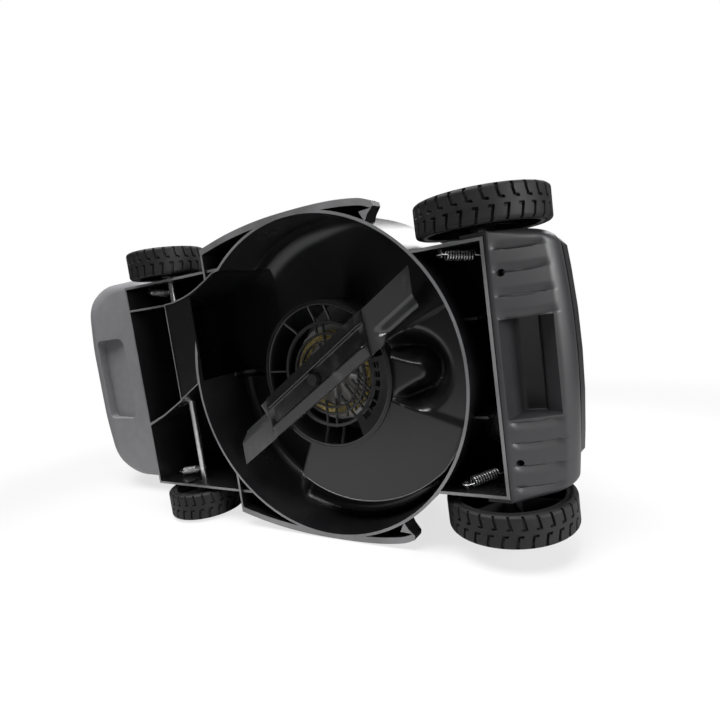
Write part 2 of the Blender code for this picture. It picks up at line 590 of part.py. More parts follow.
def make_deck(columns, rows):
    """Blade housing with its chamber, tunnel, bays, combs, spring pegs and axle slots."""
    drum, chamber = chamber_solids(columns, rows)
    bay_top = DECK_TOP - WALL
    deck = box("deck", (REAR_WALL_X, -REAR_HALF, REAR_EDGE_H), (REAR_ROOT_X, REAR_HALF, DECK_TOP))
    inside = box("inside", (REAR_WALL_X + WALL, WALL - REAR_HALF, -0.01),
                 (REAR_ROOT_X + ROOT_DEPTH, REAR_HALF - WALL, bay_top))
    deck = boolean(deck, inside)
    core = CHAMBER_R + WALL / 6
    deck = boolean(deck, rod("core", core, -0.02, DECK_TOP + 0.02, columns))
    front = box("front", (FRONT_ROOT_X, -FRONT_HALF, 0.0), (FRONT_WALL_X, FRONT_HALF, DECK_TOP))
    front = boolean(front, box("hollow", (FRONT_ROOT_X - ROOT_DEPTH, WALL - FRONT_HALF, -0.01),
                               (FRONT_WALL_X - WALL, FRONT_HALF - WALL, bay_top)))
    for side in (-1, 1):
        rib_y = side * RECESS_HALF
        rib = box("rib", (DRUM_R - RIB_ROOT, rib_y - RIB_WALL / 2, 0.022),
                  (FRONT_WALL_X - 0.001, rib_y + RIB_WALL / 2, bay_top + 0.001))
        front = boolean(front, rib, "UNION")
    front = boolean(front, rod("core", core, -0.02, DECK_TOP + 0.02, columns))
    deck = boolean(deck, front, "UNION")
    for side in (-1, 1):
        comb = comb_solid("comb", side, 0.0)
        pocket = comb_solid("pocket", side, COMB_LIP)
        pocket = boolean(pocket, rod("keep", DRUM_R - WALL / 6, -0.02, DECK_TOP, columns))
        comb = boolean(comb, pocket)
        deck = boolean(deck, comb, "UNION")
    root_x = REAR_ROOT_X + 2 * ROOT_DEPTH
    bend_x, knee_x = mix(PLATE_FRONT_X, PLATE_REAR_X, 0.4255), mix(PLATE_REAR_X, REAR_WALL_X, 0.358)
    tunnel = boolean(prism("tunnel", tunnel_outline(0.0), 0.0, DECK_TOP),
                     prism("shell", [(root_x, 0.0), (root_x, TUNNEL_H + CEILING_WALL),
                                     (bend_x, TUNNEL_H + 2 * CEILING_WALL), (REAR_WALL_X, DECK_TOP - WALL / 2),
                                     (REAR_WALL_X, TUNNEL_FLOOR_H), (knee_x, TUNNEL_FLOOR_H - 0.014),
                                     (PLATE_REAR_X, TUNNEL_FLOOR_H - 0.022), (PLATE_REAR_X, 0.0)],
                           -CUT_REACH, CUT_REACH, "Y"),
                     "INTERSECT")
    deck = boolean(deck, tunnel, "UNION")
    deck = boolean(deck, drum, "UNION")
    deck = boolean(deck, chamber)
    deck = boolean(deck, rod("bore", SLEEVE_BORE, -0.01, DECK_TOP + 0.01, columns))
    flow = boolean(prism("flow", tunnel_outline(WALL), -0.01, DECK_TOP),
                   prism("sides", [(root_x, -0.02), (root_x, TUNNEL_H), (bend_x, TUNNEL_H + 0.004),
                                   (REAR_WALL_X - 0.01, TUNNEL_ROOF_REAR_H),
                                   (REAR_WALL_X - 0.01, TUNNEL_FLOOR_H + WALL), (knee_x, TUNNEL_FLOOR_H - 0.011),
                                   (PLATE_REAR_X - 0.006, TUNNEL_FLOOR_H - 0.018), (PLATE_FRONT_X, WALL),
                                   (PLATE_FRONT_X, -0.02)], -CUT_REACH, CUT_REACH, "Y"), "INTERSECT")
    deck = boolean(deck, flow)
    wedge = boolean(prism("wedge", tunnel_outline(WALL), 0.0, DECK_TOP),
                    prism("space", [(PLATE_REAR_X - 0.01, WALL), (PLATE_FRONT_X - 0.006, WALL),
                                    (PLATE_REAR_X + 0.002, TUNNEL_FLOOR_H - 0.026),
                                    (PLATE_REAR_X - 0.01, TUNNEL_FLOOR_H - 0.026)],
                          -CUT_REACH, CUT_REACH, "Y"), "INTERSECT")
    deck = boolean(deck, wedge)
    for x, height, peg, half in ((FRONT_AXLE_X, FRONT_AXLE_H, FRONT_PEG, FRONT_HALF),
                                 (REAR_AXLE_X, REAR_AXLE_H, REAR_PEG, REAR_HALF)):
        deck = boolean(deck, axle_slot(x, height))
        for side in (-1, 1):
            first, last = sorted((side * (half - WALL / 2), side * (peg[1] - 0.003)))
            pin = rod("peg", SPRING_PEG_R, first, last, 12, "Y", (peg[0], 0.0, peg[2]))
            deck = boolean(deck, pin, "UNION")
    for side in (-1, 1):
        y = side * SCREW_Y
        lug = box("lug", (FRONT_WALL_X - WALL / 2, y - LUG_HALF, LUG_H), (SCREW_X + LUG_HALF, y + LUG_HALF, LUG_H + LUG_THICK))
        deck = boolean(deck, lug, "UNION")
        deck = boolean(deck, rod("hole", SCREW_R + BORE_GAP, LUG_H - 0.01, LUG_H + 0.02, 10, "Z", (SCREW_X, y, 0.0)))
        stud = rod("stud", STUD_R + BORE_GAP, side * REAR_HALF - 0.01, side * REAR_HALF + 0.01, 10, "Y",
                   (PIVOT_X, 0.0, DECK_TOP - 0.013))
        deck = boolean(deck, stud)
    return finish(deck, BLACK_GLOSS)


def bumper_share(height):
    """Share of the prow's reach that the bumper's face has at a height."""
    if height <= UNDER_TOP_H:
        return UNDER_SHARE * (height - BUMPER_FOOT_H) / (UNDER_TOP_H - BUMPER_FOOT_H)
    below = max(0.0, (PROW_H - height) / (PROW_H - UNDER_TOP_H))
    return 1.0 - (1.0 - UNDER_SHARE) * below * below


def bumper_face(y, height, inset=0.0):
    """Forward position of the bumper's face, with its corners rounded."""
    share = bumper_share(height)
    half = FRONT_HALF + GAP + BUMPER_SIDE
    width, length = mix(FOOT_CORNER, CORNER_WIDTH, share), mix(FOOT_CORNER, CORNER_LENGTH, share)
    edge = min(1.0, max(0.0, abs(y) - (half - width)) / width)
    drop = length * (1.0 - math.sqrt(1.0 - edge * edge))
    reach = PROW_REACH - PROW_BOW * (y / FRONT_HALF) ** 2
    back = PROW_BACK * max(0.0, height - PROW_H) / (DECK_TOP - PROW_H)
    return BUMPER_FOOT_X + reach * share - back - drop - inset


def bumper_ring(height, back, rear, groove):
    """Plan of the bumper at a height, with its grooves and its sides reaching back."""
    half = FRONT_HALF + GAP + BUMPER_SIDE
    face = [(y + step, groove if step == 0.0 else 0.0) for y in GROOVE_Y for step in (-GROOVE_HALF, 0.0, GROOVE_HALF)]
    face += [(half - CORNER_WIDTH * share, 0.0) for share in (0.5, 0.25, 0.08, 0.0)]
    face = [(-y, depth) for y, depth in reversed(face)] + face
    inner = FRONT_HALF + GAP
    loop = [(bumper_face(y, height, depth), y, height) for y, depth in face]
    return loop + [(rear, half, height), (rear, inner, height), (back, inner, height), (back, -inner, height),
                   (rear, -inner, height), (rear, -half, height)]


def recess_outline(wall):
    """Side view of the hand recess, grown by a wall."""
    foot, top = BUMPER_FOOT_X, RECESS_DEPTH_H + wall
    rear, front = foot + RECESS_FOOT - wall, foot + RECESS_REACH + wall
    return [(rear, -0.01), (rear, 0.005), (foot + 0.0075 - wall, top - 0.007), (foot + 0.0105 - wall, top - 0.003),
            (foot + 0.0275 + wall, top), (foot + 0.0310 + wall, top - 0.010), (front, top - 0.016), (front + 0.002, -0.01)]


def make_bumper():
    """Front bumper with its hand recess and two screws."""
    back = FRONT_WALL_X + GAP
    rear = FRONT_WALL_X - BUMPER_RETURN
    top = BUMPER_TOP_H
    levels = [(BUMPER_FOOT_H, 0.0), (0.004, 1.0), (0.014, 1.0), (UNDER_TOP_H, 0.8), (mix(UNDER_TOP_H, PROW_H, 0.4), 0.3),
              (mix(UNDER_TOP_H, PROW_H, 0.7), 0.0), (PROW_H, 0.0), (mix(PROW_H, top, 0.5), 0.0), (top, 0.0)]
    bumper = loft("front_bumper", [bumper_ring(h, back, rear, GROOVE_DEPTH * deep) for h, deep in levels])
    bumper = boolean(bumper, axle_slot(FRONT_AXLE_X, FRONT_AXLE_H))
    side = FRONT_HALF - WALL
    columns = [side * share for share in (-1.0, -0.97, -0.92, -0.85, -0.5, 0.0, 0.5, 0.85, 0.92, 0.97, 1.0)]
    space = []
    for h, skin in ((0.0095, UNDER_SKIN), (UNDER_TOP_H, UNDER_SKIN), (PROW_H, BUMPER_SKIN), (top - WALL, BUMPER_SKIN)):
        space.append([(bumper_face(y, h, skin), y, h) for y in columns] + [(back - 0.01, side, h), (back - 0.01, -side, h)])
    space = loft("space", space)
    space = boolean(space, prism("grip", recess_outline(WALL), -RECESS_HALF - WALL, RECESS_HALF + WALL, "Y"))
    boss_top = LUG_H - GAP
    for side in (-1, 1):
        place = (SCREW_X, side * SCREW_Y, 0.0)
        space = boolean(space, rod("boss", SCREW_HEAD_R + WALL, -0.02, boss_top, 16, "Z", place))
    bumper = boolean(bumper, space)
    bumper = boolean(bumper, prism("hand", recess_outline(0.0), -RECESS_HALF, RECESS_HALF, "Y"))
    seat = boss_top - WALL
    for side, name in ((-1, "right"), (1, "left")):
        place = (SCREW_X, side * SCREW_Y, 0.0)
        well, shank = SCREW_HEAD_R + BORE_GAP, SCREW_R + BORE_GAP
        outline = [(0.0, LUG_H), (shank, LUG_H), (shank, seat), (well, seat), (well, -0.02), (0.0, -0.02)]
        bumper = boolean(bumper, revolve("well", outline, 14, "Z", place))
        tip, low = LUG_H + LUG_THICK - 0.001, seat - GAP - SCREW_HEAD_H
        head = [(0.0, tip), (SCREW_R, tip), (SCREW_R, seat - GAP), (SCREW_HEAD_R, seat - GAP), (SCREW_HEAD_R * 0.8, low),
                (0.0, low)]
        finish(revolve("bumper_screw_" + name, head, 10, "Z", place), STEEL)
    return finish(bumper, BLACK_MATTE)


def cover_rise(x):
    """Height of the upper cover above the deck."""
    if x > 0.0:
        return mix(COVER_RISE, COVER_FRONT_RISE, smoothstep(0.02, DRUM_R + 0.057, x))
    return mix(COVER_RISE, COVER_REAR_RISE, smoothstep(0.04, DRUM_R + 0.062, -x))


def cover_plan(inset, lip):
    """Half of the cover's plan, from the front middle round to the rear middle."""
    top = BUMPER_TOP_H
    round_r = DRUM_R - 0.0015 - inset
    half_front, half_rear = FRONT_HALF + GAP + BUMPER_SIDE - inset, REAR_HALF - 0.0005 - inset
    corner = half_front - CORNER_WIDTH
    front = [(bumper_face(y, top, inset) + lip, y) for y in (0.0, corner * 0.4, corner * 0.8, corner)]
    front += [(bumper_face(corner + CORNER_WIDTH * share, top, inset) + lip * (1.0 - share), corner + CORNER_WIDTH * share)
              for share in (0.5, 0.85, 1.0)]
    front.append((DRUM_R + 0.007, half_front))
    start = math.degrees(math.asin((half_front + 0.001) / round_r))
    end = 180.0 - math.degrees(math.asin(half_rear / round_r))
    rear_x = REAR_WALL_X + inset
    rear = [(0.018 - DRUM_R, half_rear), (-DRUM_R - 0.047, half_rear), (rear_x + 0.012, half_rear),
            (rear_x, half_rear - 0.012),
            (rear_x, 0.070), (rear_x, 0.0)]
    return front + arc(round_r, start, end, 7) + rear


def make_cover():
    """Upper cover: a domed shell with cooling slots and the ears of the flap's hinge."""
    levels = [(1.0, 0.0), (1.0, 0.28), (0.96, 0.66), (0.85, 0.92), (0.45, 1.0)]
    shells = []
    for inset, name in ((0.0, "upper_cover"), (WALL, "hollow")):
        base = DECK_TOP + GAP - (0.01 if inset else 0.0)
        rings = []
        for scale, rise in levels:
            half = cover_plan(inset, COVER_LIP if rise and not inset else 0.0)
            plan = half + [(x, -y) for x, y in reversed(half[1:-1])]
            loop = []
            for x, y in plan:
                px = (x + 0.02) * scale - 0.02
                height = DECK_TOP + GAP + rise * (cover_rise(px) - inset)
                loop.append((px, y * scale, base if rise == 0.0 else height))
            rings.append(loop)
        shells.append(loft(name, rings))
    cover = boolean(shells[0], shells[1])
    for k in range(3):
        x = -0.054 + 0.026 * k
        for side in (-1, 1):
            first, last = sorted((side * (DRUM_R - 0.060), side * (DRUM_R + 0.002)))
            slot = box("vent", (x, first, DECK_TOP + 0.016), (x + 0.011, last, DECK_TOP + 0.045))
            cover = boolean(cover, slot)
    for side in (-1, 1):
        first, last = sorted((side * (FLAP_HALF + GAP), side * (FLAP_HALF + 0.007)))
        ear = box("ear", (COLLECTOR_FRONT_X + 0.001, first, flap_hinge_h() - 0.020),
                  (REAR_WALL_X + 0.030, last, flap_hinge_h() + 0.006))
        cover = boolean(cover, ear, "UNION")
    hinge = (FLAP_HINGE_X, 0.0, flap_hinge_h())
    pin_hole = rod("pin_hole", FLAP_PIN_R + BORE_GAP, -CUT_REACH, CUT_REACH, 12, "Y", hinge)
    return finish(boolean(cover, pin_hole), BLACK_MATTE)


def flap_hinge_h():
    """Height of the flap's hinge over the collector's sloping front."""
    slope = math.radians(COLLECTOR_SLOPE)
    forward = FLAP_HINGE_X - COLLECTOR_FRONT_X
    return COLLECTOR_SPLIT_H + (FLAP_SLEEVE_R + 0.0005 - forward * math.sin(slope)) / math.cos(slope)


def make_flap():
    """Rear flap, its pin and its torsion spring. It lies on the collector's sloping front."""
    slope = math.radians(COLLECTOR_SLOPE)
    place = (FLAP_HINGE_X, 0.0, flap_hinge_h())
    back, up = Vector((-math.cos(slope), math.sin(slope))), Vector((math.sin(slope), math.cos(slope)))
    centre = Vector((place[0], place[2]))
    low = GAP - FLAP_SLEEVE_R - 0.0005
    corners = [(0.0, low), (FLAP_LENGTH, low), (FLAP_LENGTH, low + FLAP_THICK), (0.0, low + FLAP_THICK)]
    outline = [tuple(centre + back * a + up * b) for a, b in corners]
    flap = prism("rear_flap", outline, -FLAP_HALF, FLAP_HALF, "Y", place)
    sleeve_end = FLAP_HALF - 0.016
    well = rod("well", FLAP_SLEEVE_R + GAP, sleeve_end + 0.001, FLAP_HALF + 0.001, 16, "Y", place)
    flap = boolean(flap, well)
    flap = boolean(flap, rod("sleeve", FLAP_SLEEVE_R, -FLAP_HALF, sleeve_end, 16, "Y", place), "UNION")
    flap = boolean(flap, rod("bore", FLAP_PIN_R + BORE_GAP, -CUT_REACH, CUT_REACH, 12, "Y", place))
    finish(flap, BLACK_MATTE)
    finish(rod("flap_pin", FLAP_PIN_R, -FLAP_HALF - 0.010, FLAP_HALF + 0.010, 12, "Y", place), STEEL)
    radius = FLAP_PIN_R + FLAP_SPRING_WIRE_R + 2 * GAP
    first, last = sleeve_end + 0.003, FLAP_HALF - 0.002
    count = FLAP_SPRING_CURLS * POINTS_A_CURL
    rest = low + FLAP_THICK + FLAP_SPRING_WIRE_R + GAP
    path = [(0.013, rest, first)]
    for k in range(count + 1):
        turn = math.tau * k / POINTS_A_CURL
        path.append((-radius * math.sin(turn), radius * math.cos(turn), mix(first, last, k / count)))
    path.append((-0.009, radius, last))
    points = []
    for a, b, y in path:
        spot = centre + back * a + up * b
        points.append((spot.x, y, spot.y))
    print("flap_spring least self gap", (last - first) / FLAP_SPRING_CURLS - 2 * FLAP_SPRING_WIRE_R)
    finish(wire("flap_spring", points, FLAP_SPRING_WIRE_R, 1, place), STEEL)


def make_motor():
    """Grille, stator, windings, bearings, bracket and capacitor, which stand still."""
    low, outer = SLEEVE_BOTTOM_H, SLEEVE_BORE - GAP
    grille = ring("motor_grille", outer, outer - GRILLE_RING, low, low + GRILLE_THICK, 28)
    seat_r = BEARING_R + BORE_GAP
    boss = ring("boss", seat_r + 0.003, seat_r, low, low + GRILLE_THICK + BEARING_HEIGHT, 16)
    floor = ring("floor", seat_r + 0.001, SHAFT_R + 0.0015, low, low + 0.002, 16)
    boss = boolean(boss, floor, "UNION")
    for k in range(GRILLE_RIBS // 2):
        turn = math.pi * k * 2 / GRILLE_RIBS + math.radians(9.0)
        across = Vector((-math.sin(turn), math.cos(turn)))
        reach = Vector((math.cos(turn), math.sin(turn)))
        outline = [reach * a + across * b * 0.0011 for a, b in ((-outer + 0.002, -1), (outer - 0.002, -1),
                                                               (outer - 0.002, 1), (-outer + 0.002, 1))]
        rib = prism("rib", [tuple(p) for p in outline], low + 0.0005, low + GRILLE_THICK - 0.0005)
        grille = boolean(grille, rib, "UNION")
    grille = boolean(grille, rod("clear", seat_r + 0.002, low - 0.01, low + 0.02, 16))
    for radius in GRILLE_HOOPS:
        hoop = ring("hoop", radius + 0.0012, radius - 0.0012, low + 0.0008, low + GRILLE_THICK - 0.0008, 16)
        grille = boolean(grille, hoop, "UNION")
    finish(boolean(grille, boss, "UNION"), BLACK_MATTE)
    bearing_low = low + 0.002 + GAP
    upper_low = SLEEVE_TOP_H + GAP + BRACKET_THICK + GAP
    for name, base in (("lower_bearing", bearing_low), ("upper_bearing", upper_low)):
        profile = [(SHAFT_R + BORE_GAP, base), (BEARING_R, base), (BEARING_R, base + BEARING_HEIGHT),
                   (SHAFT_R + BORE_GAP, base + BEARING_HEIGHT)]
        finish(revolve(name, profile, 16), STEEL)
    top = STATOR_LOW_H + STATOR_HEIGHT
    finish(ring("stator_core", STATOR_R, STATOR_BORE, STATOR_LOW_H, top, 24), LAMINATION)
    for name, base in (("lower_winding", STATOR_LOW_H - GAP - WINDING_HEIGHT), ("upper_winding", top + GAP)):
        profile = [(ROTOR_R + 0.003, base + WINDING_HEIGHT), (ROTOR_R + 0.0045, base), (WINDING_R - 0.002, base),
                   (WINDING_R, base + WINDING_HEIGHT)]
        finish(revolve(name, profile, 24), COPPER)
    plate = SLEEVE_TOP_H + GAP
    bracket = ring("motor_bracket", SLEEVE_R, SHAFT_R + 0.0015, plate, plate + BRACKET_THICK, 24)
    cup = ring("cup", seat_r + 0.003, seat_r, plate + 0.001, upper_low + BEARING_HEIGHT, 16)
    bracket = boolean(bracket, cup, "UNION")
    for k in range(3):
        turn = math.tau * k / 3
        reach = Vector((math.cos(turn), math.sin(turn)))
        post = reach * (STATOR_R - 0.003)
        leg = rod("leg", 0.0025, top + GAP, plate + 0.001, 6, "Z", (*post, 0.0))
        bracket = boolean(bracket, leg, "UNION")
        window = rod("window", 0.015, plate - 0.01, plate + 0.02, 8, "Z", (*(reach * -0.045), 0.0))
        bracket = boolean(bracket, window)
    finish(bracket, GREY_MATTE)
    turn = math.radians(CAPACITOR_ANGLE)
    case_r = DRUM_R - CAPACITOR_INSET
    case = (case_r * math.cos(turn), case_r * math.sin(turn), 0.0)
    case_low = TUNNEL_H + CEILING_WALL + GAP
    finish(rod("start_capacitor", CAPACITOR_R, case_low, case_low + CAPACITOR_LENGTH, 16, "Z", case), GREY_MATTE)


def make_rotor():
    """Shaft, rotor, fan, blade and everything that turns with them."""
    bolt_top = BLADE_H + BLADE_THICK + BOSS_HEIGHT - 0.002
    shaft_low = BLADE_H + BLADE_THICK + 2 * GAP
    bore_top = bolt_top + 0.001
    shaft = [(BOLT_R + BORE_GAP, shaft_low), (SHAFT_R, shaft_low), (SHAFT_R, SHAFT_TOP_H), (0.0, SHAFT_TOP_H),
             (0.0, bore_top), (BOLT_R + BORE_GAP, bore_top)]
    finish(revolve("motor_shaft", shaft, 16), STEEL)
    middle = STATOR_LOW_H
    finish(ring("rotor_core", ROTOR_R, SHAFT_R + GAP, middle, middle + STATOR_HEIGHT, 24), LAMINATION)
    fan_low = SLEEVE_BOTTOM_H + GRILLE_THICK + BEARING_HEIGHT + 0.0022
    fan_top = STATOR_LOW_H - 0.0015
    fan = ring("cooling_fan", SHAFT_R + 0.004, SHAFT_R + GAP, fan_low, fan_top, 16)
    for k in range(FAN_BLADES):
        turn = math.tau * k / FAN_BLADES
        reach, across = Vector((math.cos(turn), math.sin(turn))), Vector((-math.sin(turn), math.cos(turn)))
        outline = [reach * a + across * b for a, b in ((SHAFT_R + 0.002, -0.0008), (FAN_R, 0.0052), (FAN_R, 0.0068),
                                                      (SHAFT_R + 0.002, 0.0008))]
        fan = boolean(fan, prism("vane", [tuple(p) for p in outline], fan_low + 0.0005, fan_top - 0.0005), "UNION")
    finish(fan, GREY_MATTE)
    boss_low = BLADE_H + BLADE_THICK + GAP
    finish(ring("blade_boss", BOSS_R, SHAFT_R + GAP, boss_low, boss_low + BOSS_HEIGHT, 20), STEEL)
    make_blade()
    turn = math.radians(BLADE_ANGLE)
    reach, across = Vector((math.cos(turn), math.sin(turn))), Vector((-math.sin(turn), math.cos(turn)))
    floor_h = BLADE_H - GAP

    def spot(a, b, h):
        return (*(reach * (a - b * CARRIER_SLANT) + across * b), h)

    crest_h, under_h = floor_h - CARRIER_WALL - CARRIER_DEPTH, floor_h - CARRIER_WALL - CARRIER_DRAW
    lip, width = CHANNEL_HALF + CHANNEL_FLARE, CARRIER_WIDTH / 2
    right = [(width, under_h), (width, under_h + CARRIER_WALL), (lip + 0.0024, crest_h + CARRIER_WALL * 1.04),
             (lip + 0.0012, floor_h)]
    low = [(CHANNEL_HALF, floor_h - CARRIER_WALL), (lip, crest_h), (lip + CARRIER_WALL, crest_h)]
    profile = low + right + [(-b, h) for b, h in reversed(low + right)]
    rings = [[spot(end, b, h) for b, h in profile] for end in (-CARRIER_LENGTH / 2, CARRIER_LENGTH / 2)]
    carrier = loft("blade_carrier", rings)
    finish(boolean(carrier, rod("hole", BOLT_R + BORE_GAP, -0.02, 0.02, 16)), BLACK_GLOSS)
    washer_top = floor_h - CARRIER_WALL - GAP
    washer = ring("blade_washer", WASHER_R, BOLT_R + BORE_GAP, washer_top - WASHER_THICK, washer_top, 16)
    finish(washer, PAINTED)
    head_top = washer_top - WASHER_THICK - GAP
    bolt = rod("blade_bolt", BOLT_HEAD_R, head_top - BOLT_HEAD_H, head_top, 6)
    finish(boolean(bolt, rod("shank", BOLT_R, head_top - 0.001, bolt_top, 16), "UNION"), PAINTED)


def make_blade():
    """Pressed steel blade: flat in the middle, its trailing edges turned up near the tips."""
    turn = math.radians(BLADE_ANGLE)
    half, width = BLADE_LENGTH / 2, BLADE_WIDTH / 2
    flat = [(-width, True), (BLADE_BEVEL - width, False), (BLADE_FLAT - width, False)]
    rings = []
    for s in (-1.0, -0.60, -0.54, -0.20, 0.20, 0.54, 0.60, 1.0):
        side = math.copysign(1.0, s)
        sail = abs(s) > 0.57
        rows = flat + [(BLADE_FLAT - width + SAIL_WIDTH if sail else width, False)]
        loop = []
        for thick in (0.0, BLADE_THICK):
            line = []
            for trailing, cutting in rows:
                slant = BLADE_SLANT * (trailing + width) / (2 * width) * smoothstep(0.6, 1.0, abs(s))
                a, b = s * half - side * slant, side * trailing
                lift = SAIL_RISE if sail and trailing > BLADE_FLAT - width else 0.0
                edge = 0.0022 if cutting and thick and abs(s) > 0.5 else 0.0
                line.append((a * math.cos(turn) - b * math.sin(turn), a * math.sin(turn) + b * math.cos(turn),
                             BLADE_H + thick - edge + lift))
            if side < 0.0:
                line.reverse()
            loop += line if thick == 0.0 else list(reversed(line))
        rings.append(loop)
    blade = loft("blade", rings)
    shaper = bmesh.new()
    shaper.from_mesh(blade.data)
    twisted = [face for face in shaper.faces if any(abs(face.normal.dot(v.co - face.verts[0].co)) > 1e-6 for v in face.verts)]
    bmesh.ops.triangulate(shaper, faces=twisted)
    shaper.to_mesh(blade.data)
    shaper.free()
    finish(boolean(blade, rod("hole", BOLT_R + BORE_GAP, -0.02, 0.04, 16)), STEEL)


def make_wheel(name, side, x, height, radius, track, width):
    """Tyre, wheel and cap of one corner, each with its origin on the axle."""
    at = (x, side * track, height)
    rim = radius - TYRE_THICKNESS
    columns = 3 * TREAD_BLOCKS
    seat = rim / math.cos(math.pi / columns)
    shape = [(seat, 0.0), (radius - 0.002, 0.0), (radius, 0.0035), (radius, width / 2), (radius, width - 0.0035),
             (radius - 0.002, width), (seat, width)]
    verts = []
    for k in range(columns):
        turn = math.tau * k / columns - math.pi / 2
        for row, (r, w) in enumerate(shape):
            cut = (row == 2 and k % 3 == 0) or (row == 4 and k % 3 == 1)
            deep = r - (TREAD_DEPTH if cut else 0.0)
            verts.append((x + deep * math.cos(turn), side * (track + w), height + deep * math.sin(turn)))
    count = len(shape)
    faces = []
    for k in range(columns):
        n = (k + 1) % columns
        faces += [[k * count + j, n * count + j, n * count + (j + 1) % count, k * count + (j + 1) % count]
                  for j in range(count)]
    finish(piece(name + "_tyre", verts, faces, at), TYRE_BLACK)
    bore = AXLE_R + BORE_GAP
    web = width - 0.009
    profile = [(rim - GAP, 0.0), (rim - GAP, width), (rim - 0.004, width), (rim - 0.004, web + WHEEL_WEB),
               (bore, web + WHEEL_WEB), (bore, 0.0005), (HUB_R, 0.0005), (HUB_R, web), (rim - 0.004, web)]
    wheel = [(r, side * w) for r, w in profile]
    finish(revolve(name + "_wheel", wheel, 16, "Y", at), BLACK_MATTE)
    cap = rim - 0.004 - GAP
    cover = [(0.0, width - 0.0025), (cap, width - 0.0025), (cap, width - 0.0005), (cap * 0.8, width + 0.001),
             (0.0, width + 0.001)]
    finish(revolve(name + "_wheel_cap", [(r, side * w) for r, w in cover], 16, "Y", at), GREY_MATTE)
    return track + web + WHEEL_WEB


def make_axles():
    """Two axles with their wheels, each able to slide down in its slots."""
    ends = (("front", FRONT_AXLE_X, FRONT_AXLE_H, FRONT_WHEEL_R, FRONT_TRACK_IN, FRONT_TYRE_WIDTH),
            ("rear", REAR_AXLE_X, REAR_AXLE_H, REAR_WHEEL_R, REAR_TRACK_IN, REAR_TYRE_WIDTH))
    for name, x, height, radius, track, width in ends:
        for side, hand in ((1, "left"), (-1, "right")):
            outer = make_wheel(name + "_" + hand, side, x, height, radius, track, width)
        head = outer + GAP
        profile = [(0.0, -head - AXLE_HEAD), (AXLE_R + 0.002, -head - AXLE_HEAD), (AXLE_R + 0.002, -head),
                   (AXLE_R, -head), (AXLE_R, head), (AXLE_R + 0.002, head), (AXLE_R + 0.002, head + AXLE_HEAD),
                   (0.0, head + AXLE_HEAD)]
        finish(revolve(name + "_axle", profile, 12, "Y", (x, 0.0, height)), STEEL)


def make_axle_springs():
    """Four tension springs, hooked from a peg on the deck to the axle."""
    step = math.tau / POINTS_A_CURL
    for name, x, height, peg, hook_y in (("front", FRONT_AXLE_X, FRONT_AXLE_H, FRONT_PEG, FRONT_HOOK_Y),
                                         ("rear", REAR_AXLE_X, REAR_AXLE_H, REAR_PEG, REAR_HOOK_Y)):
        for side, hand in ((1, "left"), (-1, "right")):
            start = Vector((peg[0], side * peg[1], peg[2]))
            reach = Vector((x, side * hook_y, height)) - start
            line = reach.normalized()
            flat = Vector((line.x, 0.0, line.z)).normalized()
            below = Vector((flat.z, 0.0, -flat.x))
            aside = line.cross(below)
            below = aside.cross(line)
            first, last = reach.length * (1.0 - SPRING_COIL_SHARE) / 2, reach.length * (1.0 + SPRING_COIL_SHARE) / 2
            peg_turn = SPRING_PEG_R + SPRING_WIRE_R + 2 * GAP
            axle_turn = AXLE_R + SPRING_WIRE_R + 2 * GAP
            points = []
            for turn in (60, 105, 150, 195, 240, 275):
                a = math.radians(turn)
                points.append(start + (flat * math.cos(a) - below * math.sin(a)) * peg_turn)
            points.append(start + line * (first - 0.001) + below * SPRING_COIL_R)
            count = SPRING_CURLS * POINTS_A_CURL
            for k in range(count + 1):
                a = step * k
                centre = start + line * mix(first, last, k / count)
                points.append(centre + (below * math.cos(a) + aside * math.sin(a)) * SPRING_COIL_R)
            end = start + reach
            for turn in (-90, -45, 0, 40):
                a = math.radians(turn)
                points.append(end + (flat * math.cos(a) - below * math.sin(a)) * axle_turn)
            finish(wire(f"{name}_{hand}_spring", points, SPRING_WIRE_R, 1), STEEL)
        print(name, "spring least self gap", (last - first) / SPRING_CURLS - 2 * SPRING_WIRE_R)


def collector_plan(rear_x, half, grow=0.0):
    """Half plan of the collector at one height, from front to rear."""
    front_half = min(half, REAR_HALF)
    front = COLLECTOR_FRONT_X - grow
    rear = rear_x + grow
    side = half - grow
    return [(front, front_half - grow), (front - 0.050, side), (rear + 0.072, side), (rear + 0.032, side - 0.006),
            (rear + 0.010, side - 0.028), (rear + 0.003, side - 0.080), (rear, 0.0)]


def collector_ring(half_plan, height):
    """Closed ring from a half plan."""
    loop = half_plan + [(x, -y) for x, y in reversed(half_plan[:-1])]
    return [(x, y, height) for x, y in loop]


def collector_top(drop):
    """Side view of the collector's lid, with its sloping front, lowered by a wall."""
    slope = math.radians(COLLECTOR_SLOPE)
    front = COLLECTOR_FRONT_X
    knee = front - (COLLECTOR_TOP_H - 0.012 - COLLECTOR_SPLIT_H) / math.tan(slope)
    line = [(front + 0.01, COLLECTOR_SPLIT_H - 0.01 * math.tan(slope)), (knee, COLLECTOR_TOP_H - 0.012),
            (knee - 0.034, COLLECTOR_TOP_H), (COLLECTOR_REAR_X + 0.030, COLLECTOR_TOP_H),
            (COLLECTOR_REAR_X - 0.001, COLLECTOR_TOP_H - 0.025)]
    steep = drop / math.cos(slope)
    shifted = [(x, z - (steep if k == 0 else drop)) for k, (x, z) in enumerate(line)]
    return shifted + [(COLLECTOR_REAR_X - 0.001, COLLECTOR_LOW_H), (front + 0.01, COLLECTOR_LOW_H)]


